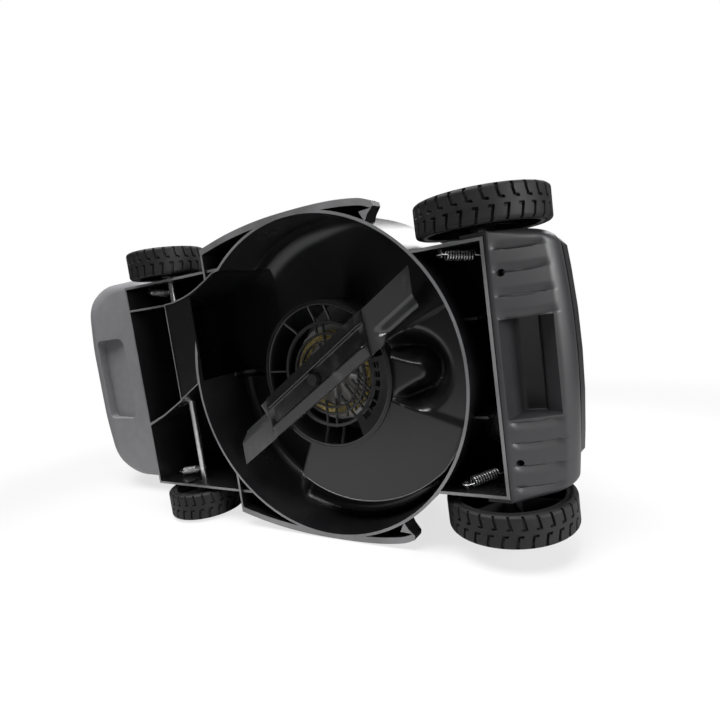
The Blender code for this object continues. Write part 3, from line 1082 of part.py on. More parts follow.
def make_collector():
    """Grass collector: tub, lid and carrying handle."""
    low, split = COLLECTOR_LOW_H, COLLECTOR_SPLIT_H
    levels = [(low, COLLECTOR_FLOOR_REAR_X, COLLECTOR_FLOOR_HALF),
              (low + 0.010, COLLECTOR_FLOOR_REAR_X - 0.020, COLLECTOR_FLOOR_HALF + 0.005),
              (split, COLLECTOR_REAR_X, COLLECTOR_HALF)]
    wall = COLLECTOR_WALL
    tub = loft("collector_tub", [collector_ring(collector_plan(r, h), z) for z, r, h in levels])
    space = [(z + wall if k < 2 else z + 0.01, r, h) for k, (z, r, h) in enumerate(levels)]
    tub = boolean(tub, loft("space", [collector_ring(collector_plan(r, h, wall), z) for z, r, h in space]))
    mouth_low, mouth_high = TUNNEL_FLOOR_H + WALL, TUNNEL_ROOF_REAR_H
    mouth = box("mouth", (COLLECTOR_FRONT_X - 0.02, TUNNEL_RIGHT + WALL, mouth_low),
                (COLLECTOR_FRONT_X + 0.02, TUNNEL_LEFT_REAR - WALL, mouth_high))
    tub = boolean(tub, mouth)
    finish(tub, GREY_MATTE)
    plan = collector_plan(COLLECTOR_REAR_X, COLLECTOR_HALF)
    outline = [(x, y) for x, y, z in collector_ring(plan, 0.0)]
    lid = boolean(prism("collector_lid", outline, split + GAP, COLLECTOR_TOP_H + 0.01),
                  prism("top", collector_top(0.0), -CUT_REACH, CUT_REACH, "Y"), "INTERSECT")
    plan = collector_plan(COLLECTOR_REAR_X, COLLECTOR_HALF, wall)
    outline = [(x, y) for x, y, z in collector_ring(plan, 0.0)]
    inside = boolean(prism("inside", outline, split - 0.01, COLLECTOR_TOP_H + 0.01),
                     prism("under", collector_top(wall), -CUT_REACH, CUT_REACH, "Y"), "INTERSECT")
    finish(boolean(lid, inside), GREY_MATTE)
    seat = COLLECTOR_TOP_H + GAP
    grip_x = COLLECTOR_REAR_X + 0.085
    arch = [(-0.062, seat), (-0.062, seat + 0.026), (-0.054, seat + 0.036), (0.054, seat + 0.036),
            (0.062, seat + 0.026), (0.062, seat), (0.050, seat), (0.050, seat + 0.020), (0.046, seat + 0.025),
            (-0.046, seat + 0.025), (-0.050, seat + 0.020), (-0.050, seat)]
    verts = [(grip_x + dx, y, z) for dx in (-0.010, 0.010) for y, z in arch]
    count = len(arch)
    faces = [list(range(count)), list(range(count, 2 * count))]
    faces += [[k, (k + 1) % count, count + (k + 1) % count, count + k] for k in range(count)]
    finish(piece("collector_handle", verts, faces), BLACK_MATTE)


def make_knob(name, place, start, end):
    """Wing knob with six lobes on a stud along Y."""
    outline_count = 12
    rings = []
    for y in (start, mix(start, end, 0.35), end):
        shrink = 0.72 if y == start else 1.0
        loop = []
        for k in range(outline_count):
            turn = math.tau * k / outline_count
            r = KNOB_R * shrink * (1.0 if k % 2 else 0.84)
            loop.append((place[0] + r * math.cos(turn), y, place[2] + r * math.sin(turn)))
        rings.append(loop)
    knob = loft(name, rings, (place[0], (start + end) / 2, place[2]))
    bore = rod("bore", STUD_R + BORE_GAP, min(start, end) - 0.01, max(start, end) + 0.01, 10, "Y", place)
    return finish(boolean(knob, bore), BLACK_MATTE)


def make_lower_handle():
    """Brackets on the deck, the lower handle and the knobs that clamp it."""
    at = (PIVOT_X, 0.0, PIVOT_H)
    handle = None
    for side, hand in ((1, "left"), (-1, "right")):
        inner, outer = BRACKET_Y, BRACKET_Y + WALL
        first, last = sorted((side * inner, side * outer))
        half = BRACKET_WIDTH / 2
        plate = [(PIVOT_X - half, BRACKET_LOW_H), (PIVOT_X + half, BRACKET_LOW_H), (PIVOT_X + half, PIVOT_H - 0.02),
                 (PIVOT_X + 0.012, PIVOT_H + 0.012), (PIVOT_X - 0.012, PIVOT_H + 0.012),
                 (PIVOT_X - half, PIVOT_H - 0.02)]
        bracket = prism("handle_bracket_" + hand, plate, first, last, "Y")
        tube_in = LOWER_TUBE_Y - TUBE_R
        first, last = sorted((side * (tube_in - 0.004), side * (outer + GAP + KNOB_THICK - 0.002)))
        bracket = boolean(bracket, rod("stud", STUD_R, first, last, 10, "Y", at), "UNION")
        first, last = sorted((side * (REAR_HALF - WALL - 0.002), side * outer))
        bolt_at = (PIVOT_X, 0.0, DECK_TOP - 0.013)
        bracket = boolean(bracket, rod("bolt", STUD_R, first, last, 10, "Y", bolt_at), "UNION")
        finish(bracket, PAINTED)
        make_knob("bracket_knob_" + hand, at, side * (outer + GAP), side * (outer + GAP + KNOB_THICK))
        tube = rod("lower_handle", TUBE_R, PIVOT_X - 0.014, FOLD_X + 0.014, 12, "X",
                   (0.0, side * LOWER_TUBE_Y, PIVOT_H))
        handle = tube if handle is None else boolean(handle, tube, "UNION")
    brace = rod("brace", TUBE_R * 0.8, -LOWER_TUBE_Y, LOWER_TUBE_Y, 10, "Y", (FOLD_X - 0.110, 0.0, PIVOT_H))
    handle = boolean(handle, brace, "UNION")
    handle = boolean(handle, rod("hole", STUD_R + BORE_GAP, -CUT_REACH, CUT_REACH, 12, "Y", at))
    fold = (FOLD_X, 0.0, PIVOT_H)
    for side in (1, -1):
        knob_side = LOWER_TUBE_Y - TUBE_R - GAP - KNOB_THICK + 0.002
        first, last = sorted((side * knob_side, side * (UPPER_TUBE_Y + TUBE_R + 0.003)))
        handle = boolean(handle, rod("stud", STUD_R, first, last, 12, "Y", fold), "UNION")
    handle.data.transform(handle.matrix_basis)
    handle.location = at
    handle.data.transform(handle.matrix_basis.inverted())
    finish(handle, PAINTED)
    for side, hand in ((1, "left"), (-1, "right")):
        start = side * (LOWER_TUBE_Y - TUBE_R - GAP)
        make_knob("fold_knob_" + hand, fold, start, start - side * KNOB_THICK)


def loop_height(x):
    """Height of the folded upper handle's middle line."""
    return PIVOT_H + LOOP_RISE * (FOLD_X - x) / (FOLD_X - LOOP_REAR_X)


def make_upper_handle():
    """Upper handle loop with its grips, switch housing, bail lever, lock button and mains inlet."""
    fold = (FOLD_X, 0.0, PIVOT_H)
    start_x = FOLD_X + 0.014
    points = [(start_x, -UPPER_TUBE_Y, loop_height(start_x)),
              (LOOP_REAR_X + LOOP_BEND, -UPPER_TUBE_Y, loop_height(LOOP_REAR_X + LOOP_BEND))]
    for k in range(1, 7):
        turn = math.radians(15.0 * k)
        x = LOOP_REAR_X + LOOP_BEND * (1.0 - math.sin(turn))
        points.append((x, -UPPER_TUBE_Y + LOOP_BEND * (1.0 - math.cos(turn)), loop_height(x)))
    points += [(x, -y, z) for x, y, z in reversed(points)]
    loop = as_mesh(wire("upper_handle", points, TUBE_R, 1, fold))
    loop = boolean(loop, rod("hole", STUD_R + BORE_GAP, -CUT_REACH, CUT_REACH, 12, "Y", fold))
    bar_h = loop_height(LOOP_REAR_X)
    bail_x = LOOP_REAR_X + BAIL_FROM_BAR
    bail_at = (bail_x, 0.0, loop_height(bail_x))
    loop = boolean(loop, rod("pivot", BAIL_R + BORE_GAP, -UPPER_TUBE_Y, UPPER_TUBE_Y, 12, "Y", bail_at))
    finish(loop, PAINTED)
    bar = (LOOP_REAR_X, 0.0, bar_h)
    for side, hand in ((1, "left"), (-1, "right")):
        first, last = sorted((side * (HOUSING_HALF + 0.002), side * (UPPER_TUBE_Y - LOOP_BEND - 0.002)))
        finish(ring("grip_" + hand, GRIP_R, TUBE_R + GAP, first, last, 16, "Y", bar), FOAM)
    half_l, half_h = HOUSING_LENGTH / 2, HOUSING_HEIGHT / 2
    low = (LOOP_REAR_X - half_l, -HOUSING_HALF, bar_h - half_h)
    high = (LOOP_REAR_X + half_l, HOUSING_HALF, bar_h + half_h)
    housing = box("switch_housing", low, high)
    trim = housing.modifiers.new("edges", "BEVEL")
    trim.width = 0.004
    trim.segments = 2
    housing = boolean(housing, rod("bar", TUBE_R + GAP, -CUT_REACH, CUT_REACH, 24, "Y", bar))
    button_x = LOOP_REAR_X
    well = rod("well", BUTTON_R + BORE_GAP, high[2] - 0.008, high[2] + 0.01, 16, "Z", (button_x, 0.022, 0.0))
    finish(boolean(housing, well), BLACK_MATTE)
    button = [(0.0, high[2] - 0.0045), (BUTTON_R, high[2] - 0.0045), (BUTTON_R, high[2] + 0.0025),
              (BUTTON_R - 0.0012, high[2] + BUTTON_TRAVEL + 0.0005), (0.0, high[2] + BUTTON_TRAVEL + 0.0005)]
    finish(revolve("lock_button", button, 16, "Z", (button_x, 0.022, 0.0)), RED)
    rear = low[0] - GAP
    inlet = box("mains_inlet", (rear - 0.018, -0.017, bar_h - 0.012), (rear, 0.017, bar_h + 0.012))
    cavity = box("cavity", (rear - 0.03, -0.014, bar_h - 0.009), (rear - 0.004, 0.014, bar_h + 0.009))
    finish(boolean(inlet, cavity), BLACK_MATTE)
    tilt = math.radians(BAIL_ANGLE)
    inner = UPPER_TUBE_Y - TUBE_R * 0.4
    arm_y = UPPER_TUBE_Y - TUBE_R - 0.006
    cross = (bail_x - BAIL_REACH * math.cos(tilt), bail_at[2] + BAIL_REACH * math.sin(tilt))
    path = [(bail_at[0], -inner, bail_at[2]), (bail_at[0], -arm_y, bail_at[2])]
    for t in (0.12, 0.75):
        path.append((mix(bail_at[0], cross[0], t), -arm_y, mix(bail_at[2], cross[1], t)))
    path.append((cross[0], -arm_y + 0.014, cross[1]))
    path += [(x, -y, z) for x, y, z in reversed(path)]
    finish(wire("bail_lever", path, BAIL_R, 2, bail_at), RED)


make_deck(40, 6)
make_bumper()
make_cover()
make_flap()
make_motor()
make_rotor()
make_axles()
make_axle_springs()
make_collector()
make_lower_handle()
make_upper_handle()
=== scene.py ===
"""Looks of the electric lawn mower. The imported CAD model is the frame, and it never moves.

New pieces are made from the centre of the blade chamber's rim, as the CAD source makes them, and OFFSET moves
them into the frame. Lengths are in metres, +X is forward, +Y is the mower's left and +Z is up.
"""

import json
import math

import bmesh
import bpy
from mathutils import Matrix, Vector


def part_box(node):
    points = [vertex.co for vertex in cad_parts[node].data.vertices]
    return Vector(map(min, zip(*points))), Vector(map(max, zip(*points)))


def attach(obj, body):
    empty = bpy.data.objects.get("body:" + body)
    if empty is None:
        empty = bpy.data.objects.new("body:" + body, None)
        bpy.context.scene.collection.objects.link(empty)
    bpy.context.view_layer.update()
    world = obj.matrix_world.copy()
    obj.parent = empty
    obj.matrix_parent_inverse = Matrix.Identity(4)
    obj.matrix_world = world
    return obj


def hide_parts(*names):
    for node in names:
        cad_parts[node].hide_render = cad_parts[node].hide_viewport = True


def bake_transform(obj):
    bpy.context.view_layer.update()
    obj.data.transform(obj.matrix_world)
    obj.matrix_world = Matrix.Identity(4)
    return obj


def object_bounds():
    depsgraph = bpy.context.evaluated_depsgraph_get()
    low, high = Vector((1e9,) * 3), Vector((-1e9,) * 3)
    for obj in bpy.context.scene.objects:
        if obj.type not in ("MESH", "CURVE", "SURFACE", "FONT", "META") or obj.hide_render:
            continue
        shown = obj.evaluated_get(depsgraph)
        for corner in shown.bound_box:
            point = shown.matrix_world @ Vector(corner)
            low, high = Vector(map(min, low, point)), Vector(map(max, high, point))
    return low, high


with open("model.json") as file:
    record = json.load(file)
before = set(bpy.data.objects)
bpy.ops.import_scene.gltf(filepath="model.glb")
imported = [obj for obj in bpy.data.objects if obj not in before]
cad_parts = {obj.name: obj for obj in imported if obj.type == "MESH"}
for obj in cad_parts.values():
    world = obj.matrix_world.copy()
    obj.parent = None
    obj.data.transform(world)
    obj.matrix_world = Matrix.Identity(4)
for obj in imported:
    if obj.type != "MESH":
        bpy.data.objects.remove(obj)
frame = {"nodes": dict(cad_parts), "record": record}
cad_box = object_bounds()
bpy.context.scene.view_settings.view_transform = "Standard"

# Sizes: the CAD source's, and a few of this script's own
GAP = 0.0003
WALL = 0.003
CHAMBER_R = 0.175
DRUM_R = CHAMBER_R + WALL
DECK_TOP = 0.112
PLATEAU_H = 0.028
GROOVE_H = 0.058
NOSE_H = 0.031
RAMP_LOW_H = 0.034
TUNNEL_H = 0.085
CEILING_WALL = 0.004
CEILING_FILLET = 0.010
SLEEVE_BORE = 0.0825
SLEEVE_R = SLEEVE_BORE + WALL
SLEEVE_BOTTOM_H = 0.026
SLEEVE_TOP_H = 0.099
LEDGE_REAR_R = 0.129
LEDGE_FRONT_R = 0.169
FRONT_WALL_X = 0.2038
FRONT_HALF = 0.117
REAR_WALL_X = -0.298
REAR_HALF = 0.139
REAR_EDGE_H = 0.004
BAY_EDGE_X = 0.110           # where the blocks of both bays end, inside the drum
RIB_WALL = 0.0025
RIB_Y = 0.047
RIB_FRONT_X = 0.150
RIB_LOW_H = 0.022
TUNNEL_RIGHT = -0.108
TUNNEL_LEFT_FRONT = 0.019
TUNNEL_LEFT_REAR = 0.056
TUNNEL_FRONT_X = -0.090
ROOF_BEND_X = -0.190
FLOOR_BEND_X = -0.246
PLATE_FRONT_X = -0.170
PLATE_REAR_X = -0.217
PLATE_RIM = 0.0016
PLATE_SINK = 0.0013
TUNNEL_FLOOR_H = 0.062
TUNNEL_ROOF_REAR_H = 0.105
COMB_TOP_H = 0.050
COMB_TIP_H = 0.012
COMB_SLOPE_X = 0.020
COMB_LIP = 0.007
COMB_REAR_X = -0.137
COMB_REAR_HALF = 0.1635
COMB_WIDE_HALF = 0.1805
COMB_TIP_X = 0.102
COMB_TIP_HALF = 0.169
AXLE_R = 0.004
AXLE_TRAVEL = 0.020
CUT_HEIGHTS = 3
CUT_REACH = 0.2              # cutters end this far to the sides
ROUND_SIDES = 180
NOTCH_SHIFT = 0.0025
BORE_GAP = 0.0003
FRONT_AXLE = (0.1913, 0.0438)
REAR_AXLE = (-0.2348, 0.0312)
TYRE_THICKNESS = 0.007
HUB_R = 0.011
AXLE_HEAD = 0.0025
SPRING_WIRE_R = 0.0008
COIL_WIRE_R = 0.00065        # finer than in the solid
COIL_START = 0.0055
SPRING_COIL_R = 0.0047
COIL_END_SHARE = 0.72
SPRING_PEG_R = 0.0025
PEG_HOOK = (50, 281, 15)     # degrees: first, end and step
AXLE_HOOK = (-100, 51, 15)
SPRINGS = {"front": ((0.1608, 0.1085, 0.0093), (*FRONT_AXLE, 0.1035)),
           "rear": ((-0.2798, 0.1300, 0.0312), (*REAR_AXLE, 0.1225))}
BUMPER_FOOT_X = 0.2062
BUMPER_FOOT_H = 0.001
PROW_REACH = 0.0569          # a millimetre less than in the solid, to stay inside it
PROW_BOW = 0.0075
PROW_H = 0.045
PROW_BACK = 0.0095
UNDER_SHARE = 0.85
UNDER_TOP_H = 0.027
CORNER_WIDTH = 0.016
CORNER_LENGTH = 0.030
FOOT_CORNER = 0.0015
BUMPER_SIDE = 0.0035
BUMPER_RETURN = 0.0205
BUMPER_TOP_H = DECK_TOP - GAP
GROOVE_DEPTH = 0.0044        # deeper than in the solid
GROOVE_Y = (0.047, 0.066, 0.087, 0.1065)
GROOVE_WIDTH = 0.0085
GROOVE_EDGE = 0.0007
RECESS_HALF = 0.0445
RECESS_SIDE = ((0.0025, -0.01), (0.0025, 0.005), (0.0075, 0.038), (0.0105, 0.042),
               (0.0275, 0.045), (0.0310, 0.035), (0.044, 0.029), (0.046, -0.01))
RECESS_ROUND = 0.0012
SCREW_AT = (0.2142, 0.0845)
SCREW_R = 0.002
SCREW_HEAD_R = 0.003
LUG_H = 0.026
LUG_THICK = 0.008
LUG_HALF = 0.006
BLADE_LENGTH = 0.327
BLADE_WIDTH = 0.043
BLADE_THICK = 0.003
BLADE_H = 0.010
BLADE_ANGLE = -32.0
BLADE_SLANT = 0.026
BLADE_FLAT = 0.024
SLANT_SPAN = (0.6, 1.0)      # this and the next three are shares of the half length
BEVEL_SPAN = (0.50, 0.53)
SAIL_PLAN_SPAN = (0.55, 0.60)
SAIL_SPAN = (0.54, 0.62)
BLADE_BEVEL = 0.007
BEVEL_DROP = 0.0024
SAIL_WIDTH = 0.0105
SAIL_RISE = 0.011
BOLT_R = 0.004
CARRIER_LENGTH = 0.170
CARRIER_SLANT = 0.48
CARRIER_WALL = 0.0025
CARRIER_DEPTH = 0.006
CARRIER_DRAW = 0.0015
CHANNEL_HALF = 0.0085
STUD_R = 0.003
PIVOT_X = -0.215

deck_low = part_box("deck")[0]
OFFSET = Vector((deck_low.x - REAR_WALL_X, 0.0, deck_low.z))

# Camera fitted to the photograph, placed from the rim's centre
CAMERA_AT = Vector((0.3346, -0.0738, -0.4312))
CAMERA_RIGHT = Vector((0.84884, 0.13409, 0.51136))
CAMERA_DOWN = Vector((-0.05796, 0.98507, -0.16210))
CAMERA_VIEW = Vector((-0.52546, 0.10796, 0.84394))
LENS = 25.26
SENSOR = 36.0


def place_camera():
    """Camera at the photograph's viewpoint."""
    turn = Matrix((CAMERA_RIGHT, -CAMERA_DOWN, -CAMERA_VIEW)).transposed().to_4x4()
    data = bpy.data.cameras.new("camera")
    data.sensor_width = SENSOR
    data.lens = LENS
    data.clip_start = 0.01
    data.clip_end = 100.0
    camera = bpy.data.objects.new("camera", data)
    camera.matrix_world = Matrix.Translation(CAMERA_AT + OFFSET) @ turn
    bpy.context.scene.collection.objects.link(camera)
    bpy.context.scene.camera = camera


place_camera()


# Node helpers
class Shader:
    """A Principled material with its nodes made by short calls."""

    def __init__(self, name):
        self.material = bpy.data.materials.new(name)
        self.material.use_nodes = True
        self.tree = self.material.node_tree
        self.main = self.tree.nodes["Principled BSDF"]
        place = self.node("ShaderNodeTexCoord")
        self.place = place.outputs["Object"]
        self.facing = place.outputs["Normal"]

    def node(self, kind, **values):
        made = self.tree.nodes.new(kind)
        for key, value in values.items():
            setattr(made, key, value)
        return made

    def link(self, source, target):
        self.tree.links.new(source, target)

    def noise(self, scale, detail=3.0):
        made = self.node("ShaderNodeTexNoise")
        made.inputs["Scale"].default_value = scale
        made.inputs["Detail"].default_value = detail
        made.inputs["Roughness"].default_value = 0.55
        self.link(self.place, made.inputs["Vector"])
        return made.outputs["Fac"]

    def ramp(self, source, stops):
        made = self.node("ShaderNodeValToRGB")
        for element, (position, color) in zip(made.color_ramp.elements, stops):
            element.position = position
            element.color = (*color, 1.0)
        self.link(source, made.inputs["Fac"])
        return made.outputs["Color"]

    def span(self, source, low, high, first=0.0, last=1.0):
        made = self.node("ShaderNodeMapRange")
        made.inputs["From Min"].default_value = first
        made.inputs["From Max"].default_value = last
        made.inputs["To Min"].default_value = low
        made.inputs["To Max"].default_value = high
        self.link(source, made.inputs["Value"])
        return made.outputs["Result"]

    def mix_color(self, factor, first, second):
        made = self.node("ShaderNodeMix", data_type="RGBA")
        self.link(factor, made.inputs["Factor"])
        for socket, value in ((made.inputs["A"], first), (made.inputs["B"], second)):
            if isinstance(value, tuple):
                socket.default_value = (*value, 1.0)
            else:
                self.link(value, socket)
        return made.outputs["Result"]

    def math(self, operation, first, second):
        made = self.node("ShaderNodeMath", operation=operation)
        for socket, value in zip(made.inputs, (first, second)):
            if isinstance(value, float):
                socket.default_value = value
            else:
                self.link(value, socket)
        return made.outputs["Value"]

    def bump(self, height, distance):
        made = self.node("ShaderNodeBump")
        made.inputs["Distance"].default_value = distance
        made.inputs["Strength"].default_value = 1.0
        self.link(height, made.inputs["Height"])
        return made.outputs["Normal"]

    def put(self, **values):
        for key, value in values.items():
            socket = self.main.inputs[key.replace("_", " ")]
            if isinstance(value, bpy.types.NodeSocket):
                self.link(value, socket)
            else:
                socket.default_value = value
        return self.material


def moulded(name, color, rough, grain, depth, dust=(0.10, 0.095, 0.09), dusty=0.10, rim_highlight_height=None):
    """Moulded plastic: fine grain, slow changes of gloss and a film of dust in patches.

    The last argument is the height below which the rim faces that look down get a patchy painted highlight,
    paler than the plastic.
    """
    s = Shader(name)
    patches = s.noise(14.0, 4.0)
    fine = s.noise(grain, 2.0)
    film = s.span(patches, 0.0, dusty, 0.48, 0.75)
    darker, lighter = tuple(c * 0.85 for c in color), tuple(c * 1.15 for c in color)
    tint = s.mix_color(s.span(s.noise(60.0, 2.0), 0.0, 1.0), darker, lighter)
    rough_out = s.math("ADD", s.span(patches, rough - 0.05, rough + 0.08), s.math("MULTIPLY", fine, 0.04))
    paint = s.mix_color(film, tint, dust)
    # Painted highlight: the faces that look down at the rims' heights are mixed paler, in patches.
    if rim_highlight_height:
        height, facing = s.node("ShaderNodeSeparateXYZ"), s.node("ShaderNodeSeparateXYZ")
        s.link(s.place, height.inputs["Vector"])
        s.link(s.facing, facing.inputs["Vector"])
        low = s.math("MULTIPLY", s.math("LESS_THAN", height.outputs["Z"], rim_highlight_height),
                     s.math("LESS_THAN", s.math("PINGPONG", height.outputs["Z"], REAR_EDGE_H / 2), RIM_BAND))
        rim = s.math("MULTIPLY", low, s.math("LESS_THAN", facing.outputs["Z"], -0.75))
        paint = s.mix_color(s.math("MULTIPLY", rim, s.span(patches, 0.55, 1.0, 0.3, 0.6)), paint, RIM_HIGHLIGHT)
    return s.put(Base_Color=paint, Roughness=rough_out, Normal=s.bump(fine, depth))


def rubbery(name, color):
    """Hard black tyre plastic with scuffs."""
    s = Shader(name)
    scuffs = s.noise(90.0, 5.0)
    fine = s.noise(900.0, 2.0)
    tint = s.mix_color(s.span(scuffs, 0.0, 1.0, 0.35, 0.75), color, tuple(c * 2.2 for c in color))
    return s.put(Base_Color=tint, Roughness=s.span(scuffs, 0.50, 0.72), Normal=s.bump(fine, 0.00012),
                 Specular_IOR_Level=0.3)


def metal(name, color, rough):
    """Bare or plated steel with fine scratches and a few stains."""
    s = Shader(name)
    scratches = s.noise(700.0, 3.0)
    stains = s.noise(70.0, 4.0)
    tint = s.mix_color(s.span(stains, 0.0, 0.45, 0.50, 0.80), color, (0.25, 0.22, 0.19))
    rough_out = s.math("ADD", s.span(stains, rough - 0.05, rough + 0.15), s.math("MULTIPLY", scratches, 0.10))
    return s.put(Base_Color=tint, Metallic=1.0, Roughness=rough_out, Normal=s.bump(scratches, 0.00003))


def coated(name, color, rough):
    """Powder-coated steel with a slight orange peel."""
    s = Shader(name)
    peel = s.noise(420.0, 2.0)
    wear = s.noise(45.0, 5.0)
    tint = s.mix_color(s.span(wear, 0.0, 0.5, 0.60, 0.85), color, (0.10, 0.095, 0.09))
    return s.put(Base_Color=tint, Roughness=s.span(wear, rough - 0.06, rough + 0.12),
                 Normal=s.bump(peel, 0.00006))


def copper(name, color):
    """Varnished copper wire."""
    s = Shader(name)
    tone = s.noise(260.0, 3.0)
    tint = s.ramp(tone, [(0.30, tuple(c * 0.45 for c in color)), (0.60, color)])
    return s.put(Base_Color=tint, Metallic=0.75, Roughness=s.span(tone, 0.28, 0.45), Coat_Weight=0.4)


def laminated(name):
    """Stacked electrical steel, each sheet half a millimetre thick."""
    s = Shader(name)
    wave = s.node("ShaderNodeTexWave", bands_direction="Z")
    wave.inputs["Scale"].default_value = 320.0
    wave.inputs["Distortion"].default_value = 0.2
    s.link(s.place, wave.inputs["Vector"])
    tint = s.ramp(wave.outputs["Fac"], [(0.2, (0.09, 0.085, 0.08)), (0.7, (0.35, 0.34, 0.33))])
    return s.put(Base_Color=tint, Metallic=0.9, Roughness=s.span(s.noise(120.0), 0.38, 0.55),
                 Normal=s.bump(wave.outputs["Fac"], 0.0001))


def foam(name):
    """Closed-cell foam of the hand grips."""
    s = Shader(name)
    cells = s.node("ShaderNodeTexVoronoi")
    cells.inputs["Scale"].default_value = 650.0
    s.link(s.place, cells.inputs["Vector"])
    tint = s.mix_color(s.span(s.noise(80.0), 0.0, 1.0), (0.012, 0.012, 0.012), (0.030, 0.030, 0.031))
    return s.put(Base_Color=tint, Roughness=0.92, Normal=s.bump(cells.outputs["Distance"], 0.0004),
                 Sheen_Weight=0.15)


RIM_HIGHLIGHT = (0.16, 0.16, 0.164)    # colour of the painted highlight on the rims
RIM_BAND = 0.0006                # the rims lie at two heights, and a recess starts above this
LOOKS = {
    # The deck's downward rim faces below 6.5 mm get the patchy painted highlight.
    "deck_plastic": moulded("deck_plastic", (0.0035, 0.0035, 0.004), 0.26, 380.0, 0.00003, dusty=0.03,
                            rim_highlight_height=0.0065),
    # Lit and shaded copies of the painted steel: the blade's copy is painted lighter as painted light, and
    # the channel's copy is painted darker as painted shade.
    "blade_coat_lit": coated("blade_coat_lit", (0.030, 0.030, 0.031), 0.20),
    "channel_coat_shaded": coated("channel_coat_shaded", (0.0025, 0.0025, 0.0028), 0.24),
    # Painted highlight: light grey for the thin edge beads, though the deck plastic is black.
    "edge_highlight": moulded("edge_highlight", (0.12, 0.12, 0.124), 0.30, 380.0, 0.00003, dusty=0.05),
    "black_plastic": moulded("black_plastic", (0.010, 0.010, 0.011), 0.34, 700.0, 0.00005, dusty=0.06),
    "bumper_plastic": moulded("bumper_plastic", (0.017, 0.017, 0.019), 0.42, 900.0, 0.00006, dusty=0.05),
    "grey_plastic": moulded("grey_plastic", (0.175, 0.175, 0.182), 0.50, 800.0, 0.00014,
                            dust=(0.26, 0.255, 0.25)),
    "tyre_plastic": rubbery("tyre_plastic", (0.0032, 0.0032, 0.0036)),
    "bright_steel": metal("bright_steel", (0.60, 0.60, 0.61), 0.26),
    "painted_steel": coated("painted_steel", (0.007, 0.007, 0.0075), 0.26),
    "winding": copper("winding", (0.62, 0.50, 0.20)),
    "lamination": laminated("lamination"),
    "red_plastic": moulded("red_plastic", (0.42, 0.022, 0.014), 0.30, 500.0, 0.00005, dusty=0.03),
    "grip_foam": foam("grip_foam"),
}

for entry in frame["record"]["subparts"]:
    node = frame["nodes"][entry["node"]]
    node.data.materials.clear()
    node.data.materials.append(LOOKS[entry["material_slot"]])
    node.data.shade_smooth()
    node.data.set_sharp_from_angle(angle=math.radians(32.0))


# Mesh helpers, in the rim's frame
def piece(name, verts, faces):
    """Mesh object with its normals facing out."""
    mesh = bpy.data.meshes.new(name)
    mesh.from_pydata([Vector(v) for v in verts], [], faces)
    shaper = bmesh.new()
    shaper.from_mesh(mesh)
    bmesh.ops.recalc_face_normals(shaper, faces=shaper.faces)
    shaper.to_mesh(mesh)
    shaper.free()
    obj = bpy.data.objects.new(name, mesh)
    obj.location = OFFSET
    bpy.context.scene.collection.objects.link(obj)
    return obj


def evaluated_mesh(obj):
    """The object's mesh with its modifiers applied."""
    bpy.context.view_layer.update()
    return bpy.data.meshes.new_from_object(obj.evaluated_get(bpy.context.evaluated_depsgraph_get()))


def boolean(target, other, operation="DIFFERENCE"):
    """Applies one Boolean to target and removes the other object."""
    cutter = target.modifiers.new("boolean", "BOOLEAN")
    cutter.operation = operation
    cutter.object = other
    mesh = evaluated_mesh(target)
    target.modifiers.clear()
    target.data = mesh
    bpy.data.objects.remove(other)
    return target


def rounded(obj, width, segments=3, angle=25.0):
    """Rounds the edges that are sharper than an angle."""
    trim = obj.modifiers.new("edges", "BEVEL")
    trim.width = width
    trim.segments = segments
    trim.limit_method = "ANGLE"
    trim.angle_limit = math.radians(angle)
    trim.use_clamp_overlap = True
    mesh = evaluated_mesh(obj)
    obj.modifiers.clear()
    obj.data = mesh
    return obj


def show(obj, body, slot, nodes, smooth=32.0, look=None):
    """Gives a finished piece its material, its body and the CAD nodes that it stands for."""
    obj.data.materials.clear()
    obj.data.materials.append(LOOKS[look or slot])
    obj.data.shade_smooth()
    obj.data.set_sharp_from_angle(angle=math.radians(smooth))
    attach(obj, body)
    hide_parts(*nodes)
    return obj


def along(axis, r, angle, length):
    """Point at radius r and an angle round the Z or the Y axis, a length along it."""
    a, b = r * math.cos(angle), r * math.sin(angle)
    return (a, b, length) if axis == "Z" else (b, length, a)


def revolve(name, profile, columns, axis="Z", at=(0.0, 0.0, 0.0), warp=None):
    """Turns a closed profile of (radius, length) about an axis through at. Radius 0 makes a pole.

    warp takes the angle, the radius and the length, and gives the last two changed.
    """
    verts = []
    rings = []
    for r, length in profile:
        if r == 0.0:
            rings.append([len(verts)] * columns)
            verts.append(along(axis, 0.0, 0.0, warp(0.0, r, length)[1] if warp else length))
            continue
        rings.append([len(verts) + k for k in range(columns)])
        for k in range(columns):
            turn = math.tau * k / columns
            spot = warp(turn, r, length) if warp else (r, length)
            verts.append(along(axis, spot[0], turn, spot[1]))
    faces = []
    for i, ring_now in enumerate(rings):
        after = rings[(i + 1) % len(rings)]
        if profile[i][0] == 0.0 and profile[(i + 1) % len(rings)][0] == 0.0:
            continue
        for k in range(columns):
            n = (k + 1) % columns
            faces.append(list(dict.fromkeys([ring_now[k], ring_now[n], after[n], after[k]])))
    return piece(name, [Vector(at) + Vector(v) for v in verts], faces)


def rod(name, r, start, end, columns, axis="Z", at=(0.0, 0.0, 0.0)):
    """Solid cylinder between two lengths along an axis through at."""
    return revolve(name, [(0.0, start), (r, start), (r, end), (0.0, end)], columns, axis, at)


def prism(name, outline, low, high, axis="Z"):
    """Extrudes a closed outline: (x, y) along Z, or (x, z) along Y."""
    count = len(outline)
    verts = [(a, b, d) if axis == "Z" else (a, d, b) for d in (low, high) for a, b in outline]
    faces = [list(range(count)), list(range(count, 2 * count))]
    faces += [[k, (k + 1) % count, count + (k + 1) % count, count + k] for k in range(count)]
    return piece(name, verts, faces)


def box(name, low, high):
    """Block between two corners."""
    outline = [(low[0], low[1]), (high[0], low[1]), (high[0], high[1]), (low[0], high[1])]
    return prism(name, outline, low[2], high[2])


